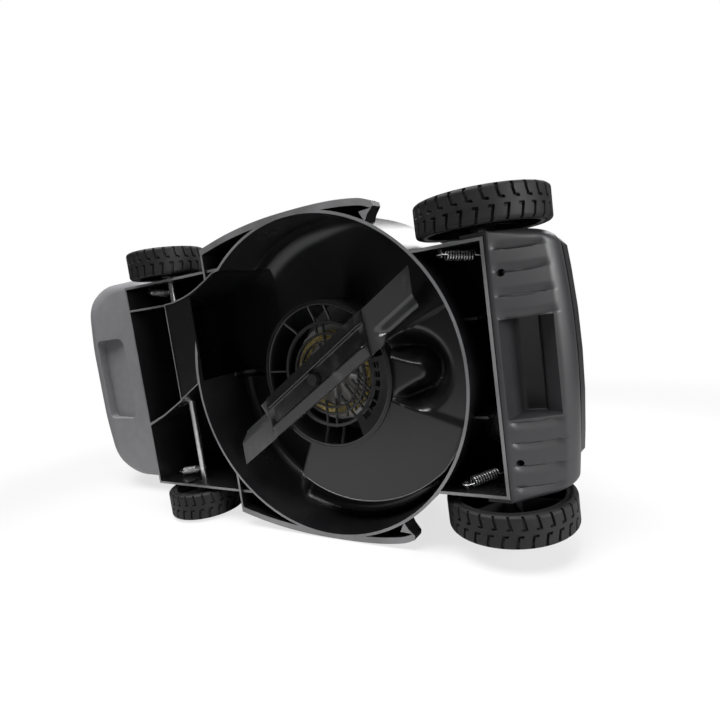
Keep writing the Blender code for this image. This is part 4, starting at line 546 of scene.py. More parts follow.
def loft(name, rings):
    """Skins a list of rings that have the same number of points, and closes both ends."""
    count = len(rings[0])
    verts = [p for loop in rings for p in loop]
    faces = [list(range(count)), list(range(len(verts) - count, len(verts)))]
    for i in range(len(rings) - 1):
        low, high = i * count, (i + 1) * count
        faces += [[low + k, low + (k + 1) % count, high + (k + 1) % count, high + k] for k in range(count)]
    return piece(name, verts, faces)


def wire(name, points, radius, sides=10):
    """Round bar along points, as a mesh with closed ends."""
    points = [Vector(p) for p in points]
    ahead = (points[1] - points[0]).normalized()
    across = ahead.orthogonal().normalized()
    rings = []
    for i, point in enumerate(points):
        before = points[max(0, i - 1)]
        after = points[min(len(points) - 1, i + 1)]
        now = (after - before).normalized()
        across = (across - now * across.dot(now)).normalized()
        up = now.cross(across)
        turns = [math.tau * k / sides for k in range(sides)]
        rings.append([point + (across * math.cos(a) + up * math.sin(a)) * radius for a in turns])
    return loft(name, rings)


def smoothstep(low, high, value):
    """0 below low, 1 above high, and smooth between."""
    t = min(1.0, max(0.0, (value - low) / (high - low)))
    return t * t * (3.0 - 2.0 * t)


def mix(a, b, t):
    """Value between a and b."""
    return a + (b - a) * t


def arc(radius, first, last, steps):
    """Points on a circle round the chamber's axis, angles in degrees."""
    angles = [math.radians(mix(first, last, k / steps)) for k in range(steps + 1)]
    return [(radius * math.cos(a), radius * math.sin(a)) for a in angles]


def spline(points, steps):
    """Smooth line through points, with a number of steps between each two."""
    points = [Vector(p) for p in points]
    line = []
    for i in range(len(points) - 1):
        a, b = points[max(0, i - 1)], points[i]
        c, d = points[i + 1], points[min(len(points) - 1, i + 2)]
        for k in range(steps):
            t = k / steps
            line.append(0.5 * ((2 * b) + (c - a) * t + (2 * a - 5 * b + 4 * c - d) * t * t
                               + (3 * b - a - 3 * c + d) * t ** 3))
    return line + [points[-1]]


# Deck
HUMP = ((0.076, 0.004, 0.029), (0.111, 0.0015, 0.0150))    # x, y and radius at both ends of the nose
BULB = (0.107, -0.001, 0.0470)                              # round pocket about the nose
BULB_H = 0.060
SHELF_H = 0.0295
# The ceiling's changes round the chamber, in degrees from +X towards +Y
PLATEAU_RISE = (7.0, 13.0)
PLATEAU_FALL = (114.0, 124.0)
RAMP_SPAN = (-96.0, -25.0)
POCKET_RISE = (-23.5, -21.0)
POCKET_FALL = (18.0, 21.0)
POCKET_END = 22.0
FILLET_SPAN = (-100.0, -60.0)
REAR_FILLET = 0.024


def ledge_radius(angle):
    """Radius of the plateau's winding edge at an angle in degrees."""
    radius = mix(LEDGE_FRONT_R - 0.001, LEDGE_REAR_R, min(1.0, max(0.0, (angle - 38.0) / 80.0)))
    return radius + 0.003 * (1.0 - smoothstep(18.0, 38.0, angle))


def hump_distance(x, y):
    """Distance outside the nose's tapering outline, less than 0 inside it."""
    (x0, y0, r0), (x1, y1, r1) = HUMP
    ahead = ((x - x0) * (x1 - x0) + (y - y0) * (y1 - y0)) / ((x1 - x0) ** 2 + (y1 - y0) ** 2)
    t = min(1.0, max(0.0, ahead))
    return math.hypot(x - mix(x0, x1, t), y - mix(y0, y1, t)) - mix(r0, r1, t)


def front_pocket(x, y):
    """Height of the ceiling in front of the sleeve: a shelf, a round pocket in it and the nose in that."""
    deep = smoothstep(0.0, 0.027, BULB[2] - math.hypot(x - BULB[0], y - BULB[1]))
    height = mix(SHELF_H, BULB_H, deep)
    top = NOSE_H + 0.004 * smoothstep(0.085, 0.125, x)
    return mix(top, height, smoothstep(-0.008, 0.009, hump_distance(x, y)))


def ceiling(r, angle):
    """Height of the chamber's ceiling at a radius and an angle in degrees from +X towards +Y."""
    height = TUNNEL_H
    ledge = ledge_radius(angle)
    plateau = mix(PLATEAU_H, GROOVE_H, smoothstep(ledge - 0.0005, ledge + 0.0065, r))
    height = mix(height, plateau, smoothstep(*PLATEAU_RISE, angle) * (1.0 - smoothstep(*PLATEAU_FALL, angle)))
    if RAMP_SPAN[0] < angle < POCKET_END:
        ramp = mix(TUNNEL_H, RAMP_LOW_H, smoothstep(*RAMP_SPAN, angle))
        x, y = r * math.cos(math.radians(angle)), r * math.sin(math.radians(angle))
        low = mix(ramp, front_pocket(x, y), smoothstep(*POCKET_RISE, angle))
        height = mix(low, height, smoothstep(*POCKET_FALL, angle))
    fillet = mix(REAR_FILLET, CEILING_FILLET, smoothstep(*FILLET_SPAN, angle))
    over = max(0.0, r - (CHAMBER_R - fillet)) / fillet
    return height - fillet * (1.0 - math.sqrt(max(0.0, 1.0 - over * over)))


def polar_solid(name, stations, columns, bottom):
    """Round solid with a flat bottom. A station is a radius and its height, each a number or a function."""
    turns = columns if isinstance(columns, list) else [-180.0 + 360.0 * k / columns for k in range(columns)]
    columns = len(turns)
    rows = len(stations)
    verts = []
    for r in (stations[0][0], stations[-1][0]):
        verts += [(r * math.cos(math.radians(t)), r * math.sin(math.radians(t)), bottom) for t in turns]
    for radius, height in stations:
        for t in turns:
            r = radius(t) if callable(radius) else radius
            z = height(r, t) if callable(height) else height
            verts.append((r * math.cos(math.radians(t)), r * math.sin(math.radians(t)), z))

    def corner(row, column):
        return (2 + row) * columns + column % columns

    faces = [[corner(0, k) for k in range(columns)], [columns + k for k in range(columns)]]
    for k in range(columns):
        faces.append([columns + k, columns + (k + 1) % columns, corner(rows - 1, k + 1), corner(rows - 1, k)])
        for row in range(rows - 1):
            faces.append([corner(row, k), corner(row, k + 1), corner(row + 1, k + 1), corner(row + 1, k)])
    used = sorted({i for face in faces for i in face})
    places = {old: new for new, old in enumerate(used)}
    return piece(name, [verts[i] for i in used], [[places[i] for i in face] for face in faces])


def chamber_solids():
    """The drum's outer body and the space inside it."""
    first, last = SLEEVE_R + 0.0002, CHAMBER_R - 0.0002

    def radius(k):
        """Radius of a row: it follows the ledge in the middle rows."""
        def place(t):
            ledge = ledge_radius(t)
            marks = [(0, first), (34, ledge - 0.001), (42, ledge + 0.0066), (56, last)]
            for (k0, r0), (k1, r1) in zip(marks, marks[1:]):
                if k <= k1:
                    return mix(r0, max(r0, min(last, r1)), (k - k0) / (k1 - k0))
            return last
        return place

    def outside(r, angle):
        near = [ceiling(min(CHAMBER_R, max(SLEEVE_R, r + step)), angle) for step in (-0.012, 0.0, 0.012)]
        return max(near) + CEILING_WALL

    outer = [(SLEEVE_R, SLEEVE_TOP_H)] + [(mix(first, last, k / 8), outside) for k in range(8)]
    outer += [(last, DECK_TOP), (DRUM_R, DECK_TOP)]
    inner = [(SLEEVE_R, SLEEVE_BOTTOM_H)] + [(radius(k), ceiling) for k in range(57)] + [(CHAMBER_R, ceiling)]
    turns = [-180.0 + 1.7 * k for k in range(91)] + [-26.0 + 0.8 * k for k in range(65)]
    turns += [26.6 + 1.7 * k for k in range(90)]
    return polar_solid("drum", outer, ROUND_SIDES, 0.0), polar_solid("chamber", inner, turns, -0.002)


def tunnel_outline(inset):
    """Plan of the discharge tunnel, drawn in by the inset."""
    right = [(-0.100, -0.138), (-0.116, -0.1375), (-0.140, -0.1265), (-0.165, -0.1165), (-0.190, -0.1105),
             (PLATE_REAR_X, TUNNEL_RIGHT), (REAR_WALL_X, TUNNEL_RIGHT)]
    left = [(REAR_WALL_X, TUNNEL_LEFT_REAR), (-0.262, mix(TUNNEL_LEFT_FRONT, TUNNEL_LEFT_REAR, 0.6)),
            (PLATE_REAR_X, TUNNEL_LEFT_FRONT), (-DRUM_R, -0.002), (-0.100, -0.002)]
    overrun = 0.004 if inset else 0.0
    right_line = [tuple(p) for p in spline([(x, y, 0.0) for x, y in right], 6)]
    drawn = [(p[0] - (overrun if p[0] <= REAR_WALL_X + 1e-6 else 0.0), p[1] + inset) for p in right_line]
    return drawn + [(x - (overrun if x == REAR_WALL_X else 0.0), y - inset) for x, y in left]


def comb_outline(side, inset):
    """Plan of one side comb, from its rear rib round its hooked tip and back along the drum."""
    edge = [(COMB_REAR_X, COMB_REAR_HALF), (-0.092, COMB_REAR_HALF + 0.0095),
            (-0.046, COMB_WIDE_HALF - 0.0018), (0.0, COMB_WIDE_HALF), (0.050, COMB_WIDE_HALF - 0.001),
            (0.086, COMB_WIDE_HALF - 0.0055), (COMB_TIP_X, COMB_TIP_HALF)]
    tip = [(COMB_TIP_X + 0.001, COMB_TIP_HALF - 0.0045), (COMB_TIP_X - 0.006, COMB_TIP_HALF - 0.011),
           (COMB_TIP_X - 0.010, COMB_TIP_HALF - 0.018)]
    edge = [(p.x, p.y) for p in spline([(x, y, 0.0) for x, y in edge], 6)]
    back_r, rear = DRUM_R - WALL / 2, COMB_REAR_X
    if inset:
        back_r, rear = DRUM_R - COMB_LIP, COMB_REAR_X + WALL
        edge = [(max(x, rear), y - inset) for x, y in edge[:-1]]
        tip = [(COMB_TIP_X - 2.2 * inset, COMB_TIP_HALF - inset)]
    back = arc(back_r, 55.0, math.degrees(math.acos(rear / back_r)), 48)
    line = edge + tip + back
    kept = [p for p, q in zip(line, line[1:] + line[:1]) if math.dist(p, q) > 0.0004]
    return [(x, side * y) for x, y in kept]


def comb_solid(name, side, inset):
    """One comb, or the pocket inside it, under its sloping roof."""
    drop = WALL if inset else 0.0
    low = -0.01 if inset else 0.0
    solid = prism(name, comb_outline(side, inset), low, COMB_TOP_H)
    roof = [(COMB_REAR_X - 0.01, low), (COMB_TIP_X + 0.01, low), (COMB_TIP_X + 0.01, COMB_TIP_H - drop),
            (COMB_SLOPE_X, COMB_TOP_H - drop), (COMB_REAR_X - 0.01, COMB_TOP_H - drop)]
    return boolean(solid, prism("roof", roof, -CUT_REACH, CUT_REACH, "Y"), "INTERSECT")


def axle_slot(x, height):
    """Cutter of one axle's slot, with its notches behind it."""
    slot = AXLE_R + BORE_GAP
    outline = [(x + slot, height - AXLE_TRAVEL - slot), (x + slot, height + slot)]
    for k in range(CUT_HEIGHTS):
        level = height - AXLE_TRAVEL * k / (CUT_HEIGHTS - 1)
        outline += [(x - slot, level + slot), (x - slot - NOTCH_SHIFT, level + slot * 0.6),
                    (x - slot - NOTCH_SHIFT, level - slot * 0.6), (x - slot, level - slot)]
    return prism("slot", outline, -CUT_REACH, CUT_REACH, "Y")


def tunnel_part(inset, low, side_view):
    """Solid that is the tunnel's plan seen from below and an outline seen from the side."""
    plan = prism("plan", tunnel_outline(inset), low, DECK_TOP)
    return boolean(plan, prism("side_view", side_view, -CUT_REACH, CUT_REACH, "Y"), "INTERSECT")


def make_deck():
    """Blade housing with its chamber, tunnel, bays, combs, spring pegs and axle slots."""
    drum, chamber = chamber_solids()
    bay_top = DECK_TOP - WALL
    deck = box("deck_shell", (REAR_WALL_X, -REAR_HALF, REAR_EDGE_H), (-BAY_EDGE_X, REAR_HALF, DECK_TOP))
    deck = boolean(deck, box("inside", (REAR_WALL_X + WALL, WALL - REAR_HALF, -0.01),
                             (0.01 - BAY_EDGE_X, REAR_HALF - WALL, bay_top)))
    core = CHAMBER_R + WALL / 6
    deck = boolean(deck, rod("core", core, -0.02, DECK_TOP + 0.02, ROUND_SIDES))
    front = box("front", (BAY_EDGE_X, -FRONT_HALF, 0.0), (FRONT_WALL_X, FRONT_HALF, DECK_TOP))
    front = boolean(front, box("hollow", (BAY_EDGE_X - 0.01, WALL - FRONT_HALF, -0.01),
                               (FRONT_WALL_X - WALL, FRONT_HALF - WALL, bay_top)))
    for side in (-1, 1):
        rib_y = side * RIB_Y
        rib = box("rib", (RIB_FRONT_X, rib_y - RIB_WALL / 2, RIB_LOW_H),
                  (FRONT_WALL_X - 0.001, rib_y + RIB_WALL / 2, bay_top + 0.001))
        front = boolean(front, rib, "UNION")
    front = boolean(front, rod("core", core, -0.02, DECK_TOP + 0.02, ROUND_SIDES))
    deck = boolean(deck, front, "UNION")
    for side in (-1, 1):
        comb = comb_solid("comb", side, 0.0)
        pocket = comb_solid("pocket", side, COMB_LIP)
        pocket = boolean(pocket, rod("keep", DRUM_R - WALL / 6, -0.02, DECK_TOP, ROUND_SIDES))
        deck = boolean(deck, boolean(comb, pocket), "UNION")
    shell = [(TUNNEL_FRONT_X, 0.0), (TUNNEL_FRONT_X, TUNNEL_H + CEILING_WALL),
             (ROOF_BEND_X, TUNNEL_H + 2 * CEILING_WALL), (REAR_WALL_X, DECK_TOP - WALL / 2),
             (REAR_WALL_X, TUNNEL_FLOOR_H), (FLOOR_BEND_X, TUNNEL_FLOOR_H - 0.014),
             (PLATE_REAR_X, TUNNEL_FLOOR_H - 0.022), (PLATE_REAR_X, 0.0)]
    deck = boolean(deck, tunnel_part(0.0, 0.0, shell), "UNION")
    deck = boolean(deck, drum, "UNION")
    deck = boolean(deck, chamber)
    deck = boolean(deck, rod("bore", SLEEVE_BORE, -0.01, DECK_TOP + 0.01, ROUND_SIDES))
    flow = [(TUNNEL_FRONT_X, -0.02), (TUNNEL_FRONT_X, TUNNEL_H), (ROOF_BEND_X, TUNNEL_H + 0.004),
            (REAR_WALL_X - 0.01, TUNNEL_ROOF_REAR_H), (REAR_WALL_X - 0.01, TUNNEL_FLOOR_H + WALL),
            (FLOOR_BEND_X, TUNNEL_FLOOR_H - 0.011), (PLATE_REAR_X - 0.006, TUNNEL_FLOOR_H - 0.018),
            (PLATE_FRONT_X, WALL), (PLATE_FRONT_X, -0.02)]
    deck = boolean(deck, tunnel_part(WALL, -0.01, flow))
    wedge = [(PLATE_REAR_X - 0.01, WALL), (PLATE_FRONT_X - 0.006, WALL),
             (PLATE_REAR_X + 0.002, TUNNEL_FLOOR_H - 0.026), (PLATE_REAR_X - 0.01, TUNNEL_FLOOR_H - 0.026)]
    deck = boolean(deck, tunnel_part(WALL, 0.0, wedge))
    sunk = prism("sunk", tunnel_outline(PLATE_RIM), -0.01, PLATE_SINK)
    sunk = boolean(sunk, rod("edge", DRUM_R + 0.0012, -0.02, 0.02, ROUND_SIDES))
    plate = box("plate", (PLATE_REAR_X + PLATE_RIM, -CUT_REACH, -0.02), (-0.1, CUT_REACH, 0.02))
    deck = boolean(deck, boolean(sunk, plate, "INTERSECT"))
    band = prism("band", tunnel_outline(0.0), REAR_EDGE_H, TUNNEL_FLOOR_H - 0.01)
    band = boolean(band, prism("inner", tunnel_outline(RIB_WALL), -0.01, DECK_TOP))
    rear = box("rear", (REAR_WALL_X + WALL / 2, -CUT_REACH, 0.0), (PLATE_REAR_X + 0.001, CUT_REACH, 0.1))
    deck = boolean(deck, boolean(band, rear, "INTERSECT"), "UNION")
    for (x, height), end, half in ((FRONT_AXLE, "front", FRONT_HALF), (REAR_AXLE, "rear", REAR_HALF)):
        deck = boolean(deck, axle_slot(x, height))
        peg = SPRINGS[end][0]
        for side in (-1, 1):
            first, last = sorted((side * (half - WALL / 2), side * (peg[1] - 0.003)))
            pin = rod("peg", SPRING_PEG_R, first, last, 24, "Y", (peg[0], 0.0, peg[2]))
            deck = boolean(deck, pin, "UNION")
    for side in (-1, 1):
        x, y = SCREW_AT[0], side * SCREW_AT[1]
        lug = box("lug", (FRONT_WALL_X - WALL / 2, y - LUG_HALF, LUG_H),
                  (x + LUG_HALF, y + LUG_HALF, LUG_H + LUG_THICK))
        deck = boolean(deck, lug, "UNION")
        hole = rod("hole", SCREW_R + BORE_GAP, LUG_H - 0.01, LUG_H + 0.02, 20, "Z", (x, y, 0.0))
        deck = boolean(deck, hole)
        stud = rod("stud", STUD_R + BORE_GAP, side * REAR_HALF - 0.01, side * REAR_HALF + 0.01, 20, "Y",
                   (PIVOT_X, 0.0, DECK_TOP - 0.013))
        deck = boolean(deck, stud)
    show(deck, "chassis", "deck_plastic", ["deck"])
    deck.modifiers.new("normals", "WEIGHTED_NORMAL").keep_sharp = True


STEP_X = -0.190
EDGE_R = 0.0007


def make_edges():
    """Thin round edges of the deck, coloured light grey as a painted highlight: the ledge and a step in the
    tunnel.
    """
    ledge = []
    for angle in range(24, 113, 2):
        r, turn = ledge_radius(angle), math.radians(angle)
        ledge.append((r * math.cos(turn), r * math.sin(turn), PLATEAU_H))
    share = (PLATE_FRONT_X - STEP_X) / (PLATE_FRONT_X - PLATE_REAR_X + 0.006)
    step_h = mix(WALL, TUNNEL_FLOOR_H - 0.018, share)
    step = [(STEP_X, y, step_h) for y in (-0.104, -0.060, -0.010)]
    for name, points in (("ledge_edge", ledge), ("tunnel_step", step)):
        edge = wire(name, points, EDGE_R)
        # The beads are coloured light grey, a painted highlight.
        edge.data.materials.append(LOOKS["edge_highlight"])
        edge.data.shade_smooth()
        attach(edge, "chassis")


# Front bumper
def bumper_share(height):
    """Share of the prow's reach that the bumper's face has at a height."""
    if height <= UNDER_TOP_H:
        return UNDER_SHARE * (height - BUMPER_FOOT_H) / (UNDER_TOP_H - BUMPER_FOOT_H)
    below = max(0.0, (PROW_H - height) / (PROW_H - UNDER_TOP_H))
    return 1.0 - (1.0 - UNDER_SHARE) * below * below


def bumper_face(y, height):
    """Forward position of the bumper's face, with its corners rounded."""
    share = bumper_share(height)
    half = FRONT_HALF + GAP + BUMPER_SIDE
    width, length = mix(FOOT_CORNER, CORNER_WIDTH, share), mix(FOOT_CORNER, CORNER_LENGTH, share)
    edge = min(1.0, max(0.0, abs(y) - (half - width)) / width)
    drop = length * (1.0 - math.sqrt(1.0 - edge * edge))
    reach = PROW_REACH - PROW_BOW * (y / FRONT_HALF) ** 2
    back = PROW_BACK * max(0.0, height - PROW_H) / (DECK_TOP - PROW_H)
    return BUMPER_FOOT_X + reach * share - back - drop


def groove_cut(y, height):
    """Depth of the leaf-shaped grooves: a sharp edge towards the middle and a long slope away from it."""
    share = bumper_share(height)
    fade = smoothstep(0.02, 0.20, share) * (1.0 - smoothstep(0.72, 0.90, share))
    lean = (0.0022 if y > 0.0 else -0.0012) * math.sin(math.pi * min(1.0, share / 0.9))
    depth = 0.0
    for mark in GROOVE_Y:
        out = abs(y) - (mark - 0.001) - lean
        if 0.0 <= out < GROOVE_WIDTH:
            depth = max(depth, (1.0 - out / GROOVE_WIDTH) ** 1.6)
        elif -GROOVE_EDGE < out < 0.0:
            depth = max(depth, 1.0 + out / GROOVE_EDGE)
    return GROOVE_DEPTH * depth * fade


def make_bumper():
    """Front bumper with its grooves, hand recess and screw wells."""
    back = FRONT_WALL_X + GAP
    rear = FRONT_WALL_X - BUMPER_RETURN
    inner = FRONT_HALF + GAP
    half = inner + BUMPER_SIDE
    heights = [mix(BUMPER_FOOT_H, UNDER_TOP_H, k / 24) for k in range(24)]
    heights += [mix(UNDER_TOP_H, PROW_H, k / 12) for k in range(12)]
    heights += [mix(PROW_H, BUMPER_TOP_H, k / 6) for k in range(7)]
    inside = half - CORNER_WIDTH
    columns = [mix(-inside, inside, k / 260) for k in range(261)]
    rounding = [inside + CORNER_WIDTH * math.sin(math.pi / 2 * k / 16) for k in range(1, 17)]
    columns = [-y for y in reversed(rounding)] + columns + rounding
    rings = []
    for height in heights:
        loop = [(bumper_face(y, height) - groove_cut(y, height), y, height) for y in columns]
        rings.append(loop + [(rear, half, height), (rear, inner, height), (back, inner, height),
                             (back, -inner, height), (rear, -inner, height), (rear, -half, height)])
    bumper = loft("bumper_skin", rings)
    bumper = boolean(bumper, axle_slot(*FRONT_AXLE))
    recess = [(BUMPER_FOOT_X + x, z) for x, z in RECESS_SIDE]
    hand = rounded(prism("hand", recess, -RECESS_HALF, RECESS_HALF, "Y"), RECESS_ROUND)
    bumper = boolean(bumper, hand)
    boss_top, lug_top = LUG_H - GAP, LUG_H + LUG_THICK
    well, shank, seat = SCREW_HEAD_R + BORE_GAP, SCREW_R + BORE_GAP, boss_top - WALL
    for side in (-1, 1):
        x, y = SCREW_AT[0], side * SCREW_AT[1]
        outline = [(0.0, lug_top), (shank, lug_top), (shank, seat), (well, seat), (well, -0.02), (0.0, -0.02)]
        bumper = boolean(bumper, revolve("well", outline, 32, "Z", (x, y, 0.0)))
        lug_space = box("lug_space", (back - 0.002, y - LUG_HALF - GAP, boss_top),
                        (x + LUG_HALF + GAP, y + LUG_HALF + GAP, lug_top + GAP))
        bumper = boolean(bumper, lug_space)
    return show(bumper, "chassis", "bumper_plastic", ["front_bumper"], smooth=38.0)


# Blade
def blade_place(a, b):
    """Point from lengths along and across the blade, b towards the trailing edge of the positive end."""
    turn = math.radians(BLADE_ANGLE)
    return a * math.cos(turn) - b * math.sin(turn), a * math.sin(turn) + b * math.cos(turn)


def make_blade():
    """Pressed blade: sharpened leading edges, and sails turned up with a round bend."""
    half, width = BLADE_LENGTH / 2, BLADE_WIDTH / 2
    across = [0.0, 0.0004, 0.0010] + [0.0010 + (BLADE_FLAT - 0.003) * k / 8 for k in range(1, 9)]
    columns = 160
    rings = []
    for k in range(columns + 1):
        s = mix(-1.0, 1.0, k / columns)
        side = math.copysign(1.0, s)
        sail = smoothstep(*SAIL_SPAN, abs(s))
        plan = mix(width, BLADE_FLAT - width + SAIL_WIDTH, smoothstep(*SAIL_PLAN_SPAN, abs(s)))
        slant_share = smoothstep(*SLANT_SPAN, abs(s))
        rows = [t - width for t in across]
        rows += [mix(rows[-1], plan, j / 14) for j in range(1, 15)]
        loop = []
        for thick in (0.0, BLADE_THICK):
            line = []
            for trailing in rows:
                slant = BLADE_SLANT * (trailing + width) / (2 * width) * slant_share
                a, b = s * half - side * slant, side * trailing
                past = max(0.0, trailing - (BLADE_FLAT - width - 0.001))
                lift = SAIL_RISE * smoothstep(0.0, SAIL_WIDTH + 0.001, past) * sail
                ground = max(0.0, 1.0 - (trailing + width) / BLADE_BEVEL) * BEVEL_DROP
                edge = ground * smoothstep(*BEVEL_SPAN, abs(s)) if thick else 0.0
                line.append((*blade_place(a, b), BLADE_H + thick - edge + lift))
            if side < 0.0:
                line.reverse()
            loop += line if thick == 0.0 else list(reversed(line))
        rings.append(loop)
    blade = loft("blade_strip", rings)
    blade = boolean(blade, rod("hole", BOLT_R + BORE_GAP, -0.02, 0.04, 32))
    # The blade takes the lighter copy of the painted steel, which is painted light.
    return show(blade, "blade_set", "painted_steel", ["blade"], smooth=30.0, look="blade_coat_lit")


def make_carrier():
    """Pressed channel under the blade, with two round crests and sloping ends."""
    floor_h = BLADE_H - GAP
    width = BLADE_WIDTH / 2
    crest_at, crest = CHANNEL_HALF + 0.0023, CARRIER_WALL + CARRIER_DEPTH
    edge = CARRIER_WALL + CARRIER_DRAW
    line = [(0.0, CARRIER_WALL), (CHANNEL_HALF - 0.0008, CARRIER_WALL),
            (CHANNEL_HALF + 0.0004, CARRIER_WALL + 0.0010), (crest_at - 0.0014, crest - 0.0010),
            (crest_at - 0.0005, crest - 0.0001), (crest_at + 0.0006, crest),
            (crest_at + 0.0018, crest - 0.0005), (mix(crest_at, width, 0.5), mix(crest, edge, 0.52)),
            (width - 0.0006, edge + 0.0002), (width, edge - 0.0003)]
    lower = [(-b, d) for b, d in reversed(line[1:])] + line
    stations = [0.0, 0.0012, 0.0030, 0.0065, 0.0100, 0.0130]
    rise = [0.30, 0.42, 0.62, 0.92, 0.99, 1.0]
    ends = [(-CARRIER_LENGTH / 2 + t, r) for t, r in zip(stations, rise)]
    ends += [(CARRIER_LENGTH / 2 - t, r) for t, r in reversed(list(zip(stations, rise)))]
    rings = []
    for a, share in ends:
        loop = []
        for b, d in lower:
            loop.append((*blade_place(a - b * CARRIER_SLANT, b), floor_h - mix(CARRIER_WALL, d, share)))
        for b, d in reversed(lower):
            down = max(0.0, mix(CARRIER_WALL, d, share) - CARRIER_WALL)
            loop.append((*blade_place(a - b * CARRIER_SLANT, b), floor_h - down))
        rings.append(loop)
    carrier = loft("blade_channel", rings)
    carrier = boolean(carrier, rod("hole", BOLT_R + BORE_GAP, -0.02, 0.02, 32))
    # The channel takes the darker copy of the painted steel, which is painted shade.
    return show(carrier, "blade_set", "painted_steel", ["blade_carrier"], smooth=34.0, look="channel_coat_shaded")


# Motor, as it shows through its grille
HOOP_H = 0.035
HOOP_R = 0.0615
HOOPS = ((HOOP_R, 0.0034), (0.048, 0.0026), (0.0395, 0.0016))    # radius and width
BAR_HALF = 0.0009
WINDOW_R = (0.0595, 0.0680)
SLOT_R = (0.0600, 0.0680)
SLAT_R = 0.044
SECTOR = (-14.0, 60.0)
GRILLE_BARS = (((-0.0108, -0.0812), (-0.0095, -0.0477)), ((0.0107, -0.0812), (0.0110, -0.0610)),
               ((0.0007, -0.0610), (0.0003, -0.0354)), ((-0.0489, -0.0653), (-0.0373, -0.0490)),
               ((-0.0095, 0.0300), (-0.0136, 0.0812)), ((0.0039, 0.0283), (0.0009, 0.0625)),
               ((0.0097, 0.0610), (0.0100, 0.0820)), ((0.0113, 0.0250), (0.0296, 0.0530)),
               ((0.0189, 0.0125), (0.0420, 0.0440)), ((0.0291, 0.0072), (0.0500, 0.0350)),
               ((0.0386, 0.0053), (0.0560, 0.0240)), ((-0.0620, -0.0060), (-0.0812, -0.0080)))
WINDOWS = ((17.5, 28.0), (30.0, 39.0), (41.5, 51.0))


def grille_height(r):
    """Height of the grille's lower face: it rises from the sleeve to the outer hoop."""
    return mix(HOOP_H, SLEEVE_BOTTOM_H + 0.001, smoothstep(HOOP_R, SLEEVE_BORE, r))


def sector(name, inner, outer, first, last, thick, low=0.0):
    """Plate between two radii and two angles, on the grille's surface."""
    steps = max(2, int((last - first) / 3.0))
    rings = []
    for k in range(steps + 1):
        a = math.radians(mix(first, last, k / steps))
        loop = []
        for r, up in ((inner, low), (mix(inner, outer, 0.5), low), (outer, low), (outer, thick),
                      (mix(inner, outer, 0.5), thick), (inner, thick)):
            loop.append((r * math.cos(a), r * math.sin(a), grille_height(r) + up))
        rings.append(loop)
    return loft(name, rings)


def make_grille():
    """Guard of the motor: two hoops, thin bars, and a broad rim with windows and slots at the front."""
    outer = SLEEVE_BORE - GAP
    foot = SLEEVE_BOTTOM_H
    profile = [(outer, foot + 0.0005), (outer, foot + 0.005), (outer - 0.0022, foot + 0.005),
               (outer - 0.0022, foot + 0.0009), (outer - 0.0016, foot + 0.0003)]
    grille = revolve("motor_guard", profile, 144)
    for radius, wide in HOOPS:
        inner, top = radius - wide, HOOP_H + 0.004
        hoop = [(radius, HOOP_H), (radius, top), (inner, top), (inner, HOOP_H)]
        grille = boolean(grille, revolve("hoop", hoop, 120), "UNION")
    for near, far in GRILLE_BARS:
        a, b = Vector((*near, 0.0)), Vector((*far, 0.0))
        aside = (b - a).normalized().cross(Vector((0.0, 0.0, 1.0))) * BAR_HALF
        rings = []
        for k in range(7):
            spot = a.lerp(b, k / 6)
            z = grille_height(spot.length)
            one, other = (spot.x - aside.x, spot.y - aside.y), (spot.x + aside.x, spot.y + aside.y)
            rings.append([(*one, z + 0.0002), (*other, z + 0.0002), (*other, z + 0.0034), (*one, z + 0.0034)])
        grille = boolean(grille, loft("bar", rings), "UNION")
    rim = sector("rim", 0.056, outer - 0.001, SECTOR[0], SECTOR[1], 0.003)
    for first, last in WINDOWS:
        rim = boolean(rim, sector("window", *WINDOW_R, first, last, 0.02, -0.02))
    for k in range(3):
        a = SECTOR[0] + 4.0 + 9.0 * k
        rim = boolean(rim, sector("window", *SLOT_R, a, a + 6.0, 0.02, -0.02))
    grille = boolean(grille, rim, "UNION")
    for k in range(6):
        turn = math.radians(mix(-12.0, 66.0, k / 5))
        across = Vector((math.cos(turn + 0.5), math.sin(turn + 0.5)))
        middle = Vector((math.cos(turn), math.sin(turn))) * SLAT_R
        corners = [middle - across * 0.009, middle + across * 0.009]
        aside = Vector((-across.y, across.x)) * 0.0007
        outline = [corners[0] - aside, corners[1] - aside, corners[1] + aside, corners[0] + aside]
        slat = prism("slat", [tuple(p) for p in outline], HOOP_H + 0.0002, HOOP_H + 0.003)
        grille = boolean(grille, slat, "UNION")
    return show(grille, "chassis", "black_plastic", ["motor_grille"])


WINDING_R = (0.0400, 0.0495)
STRAND_R = 0.00062


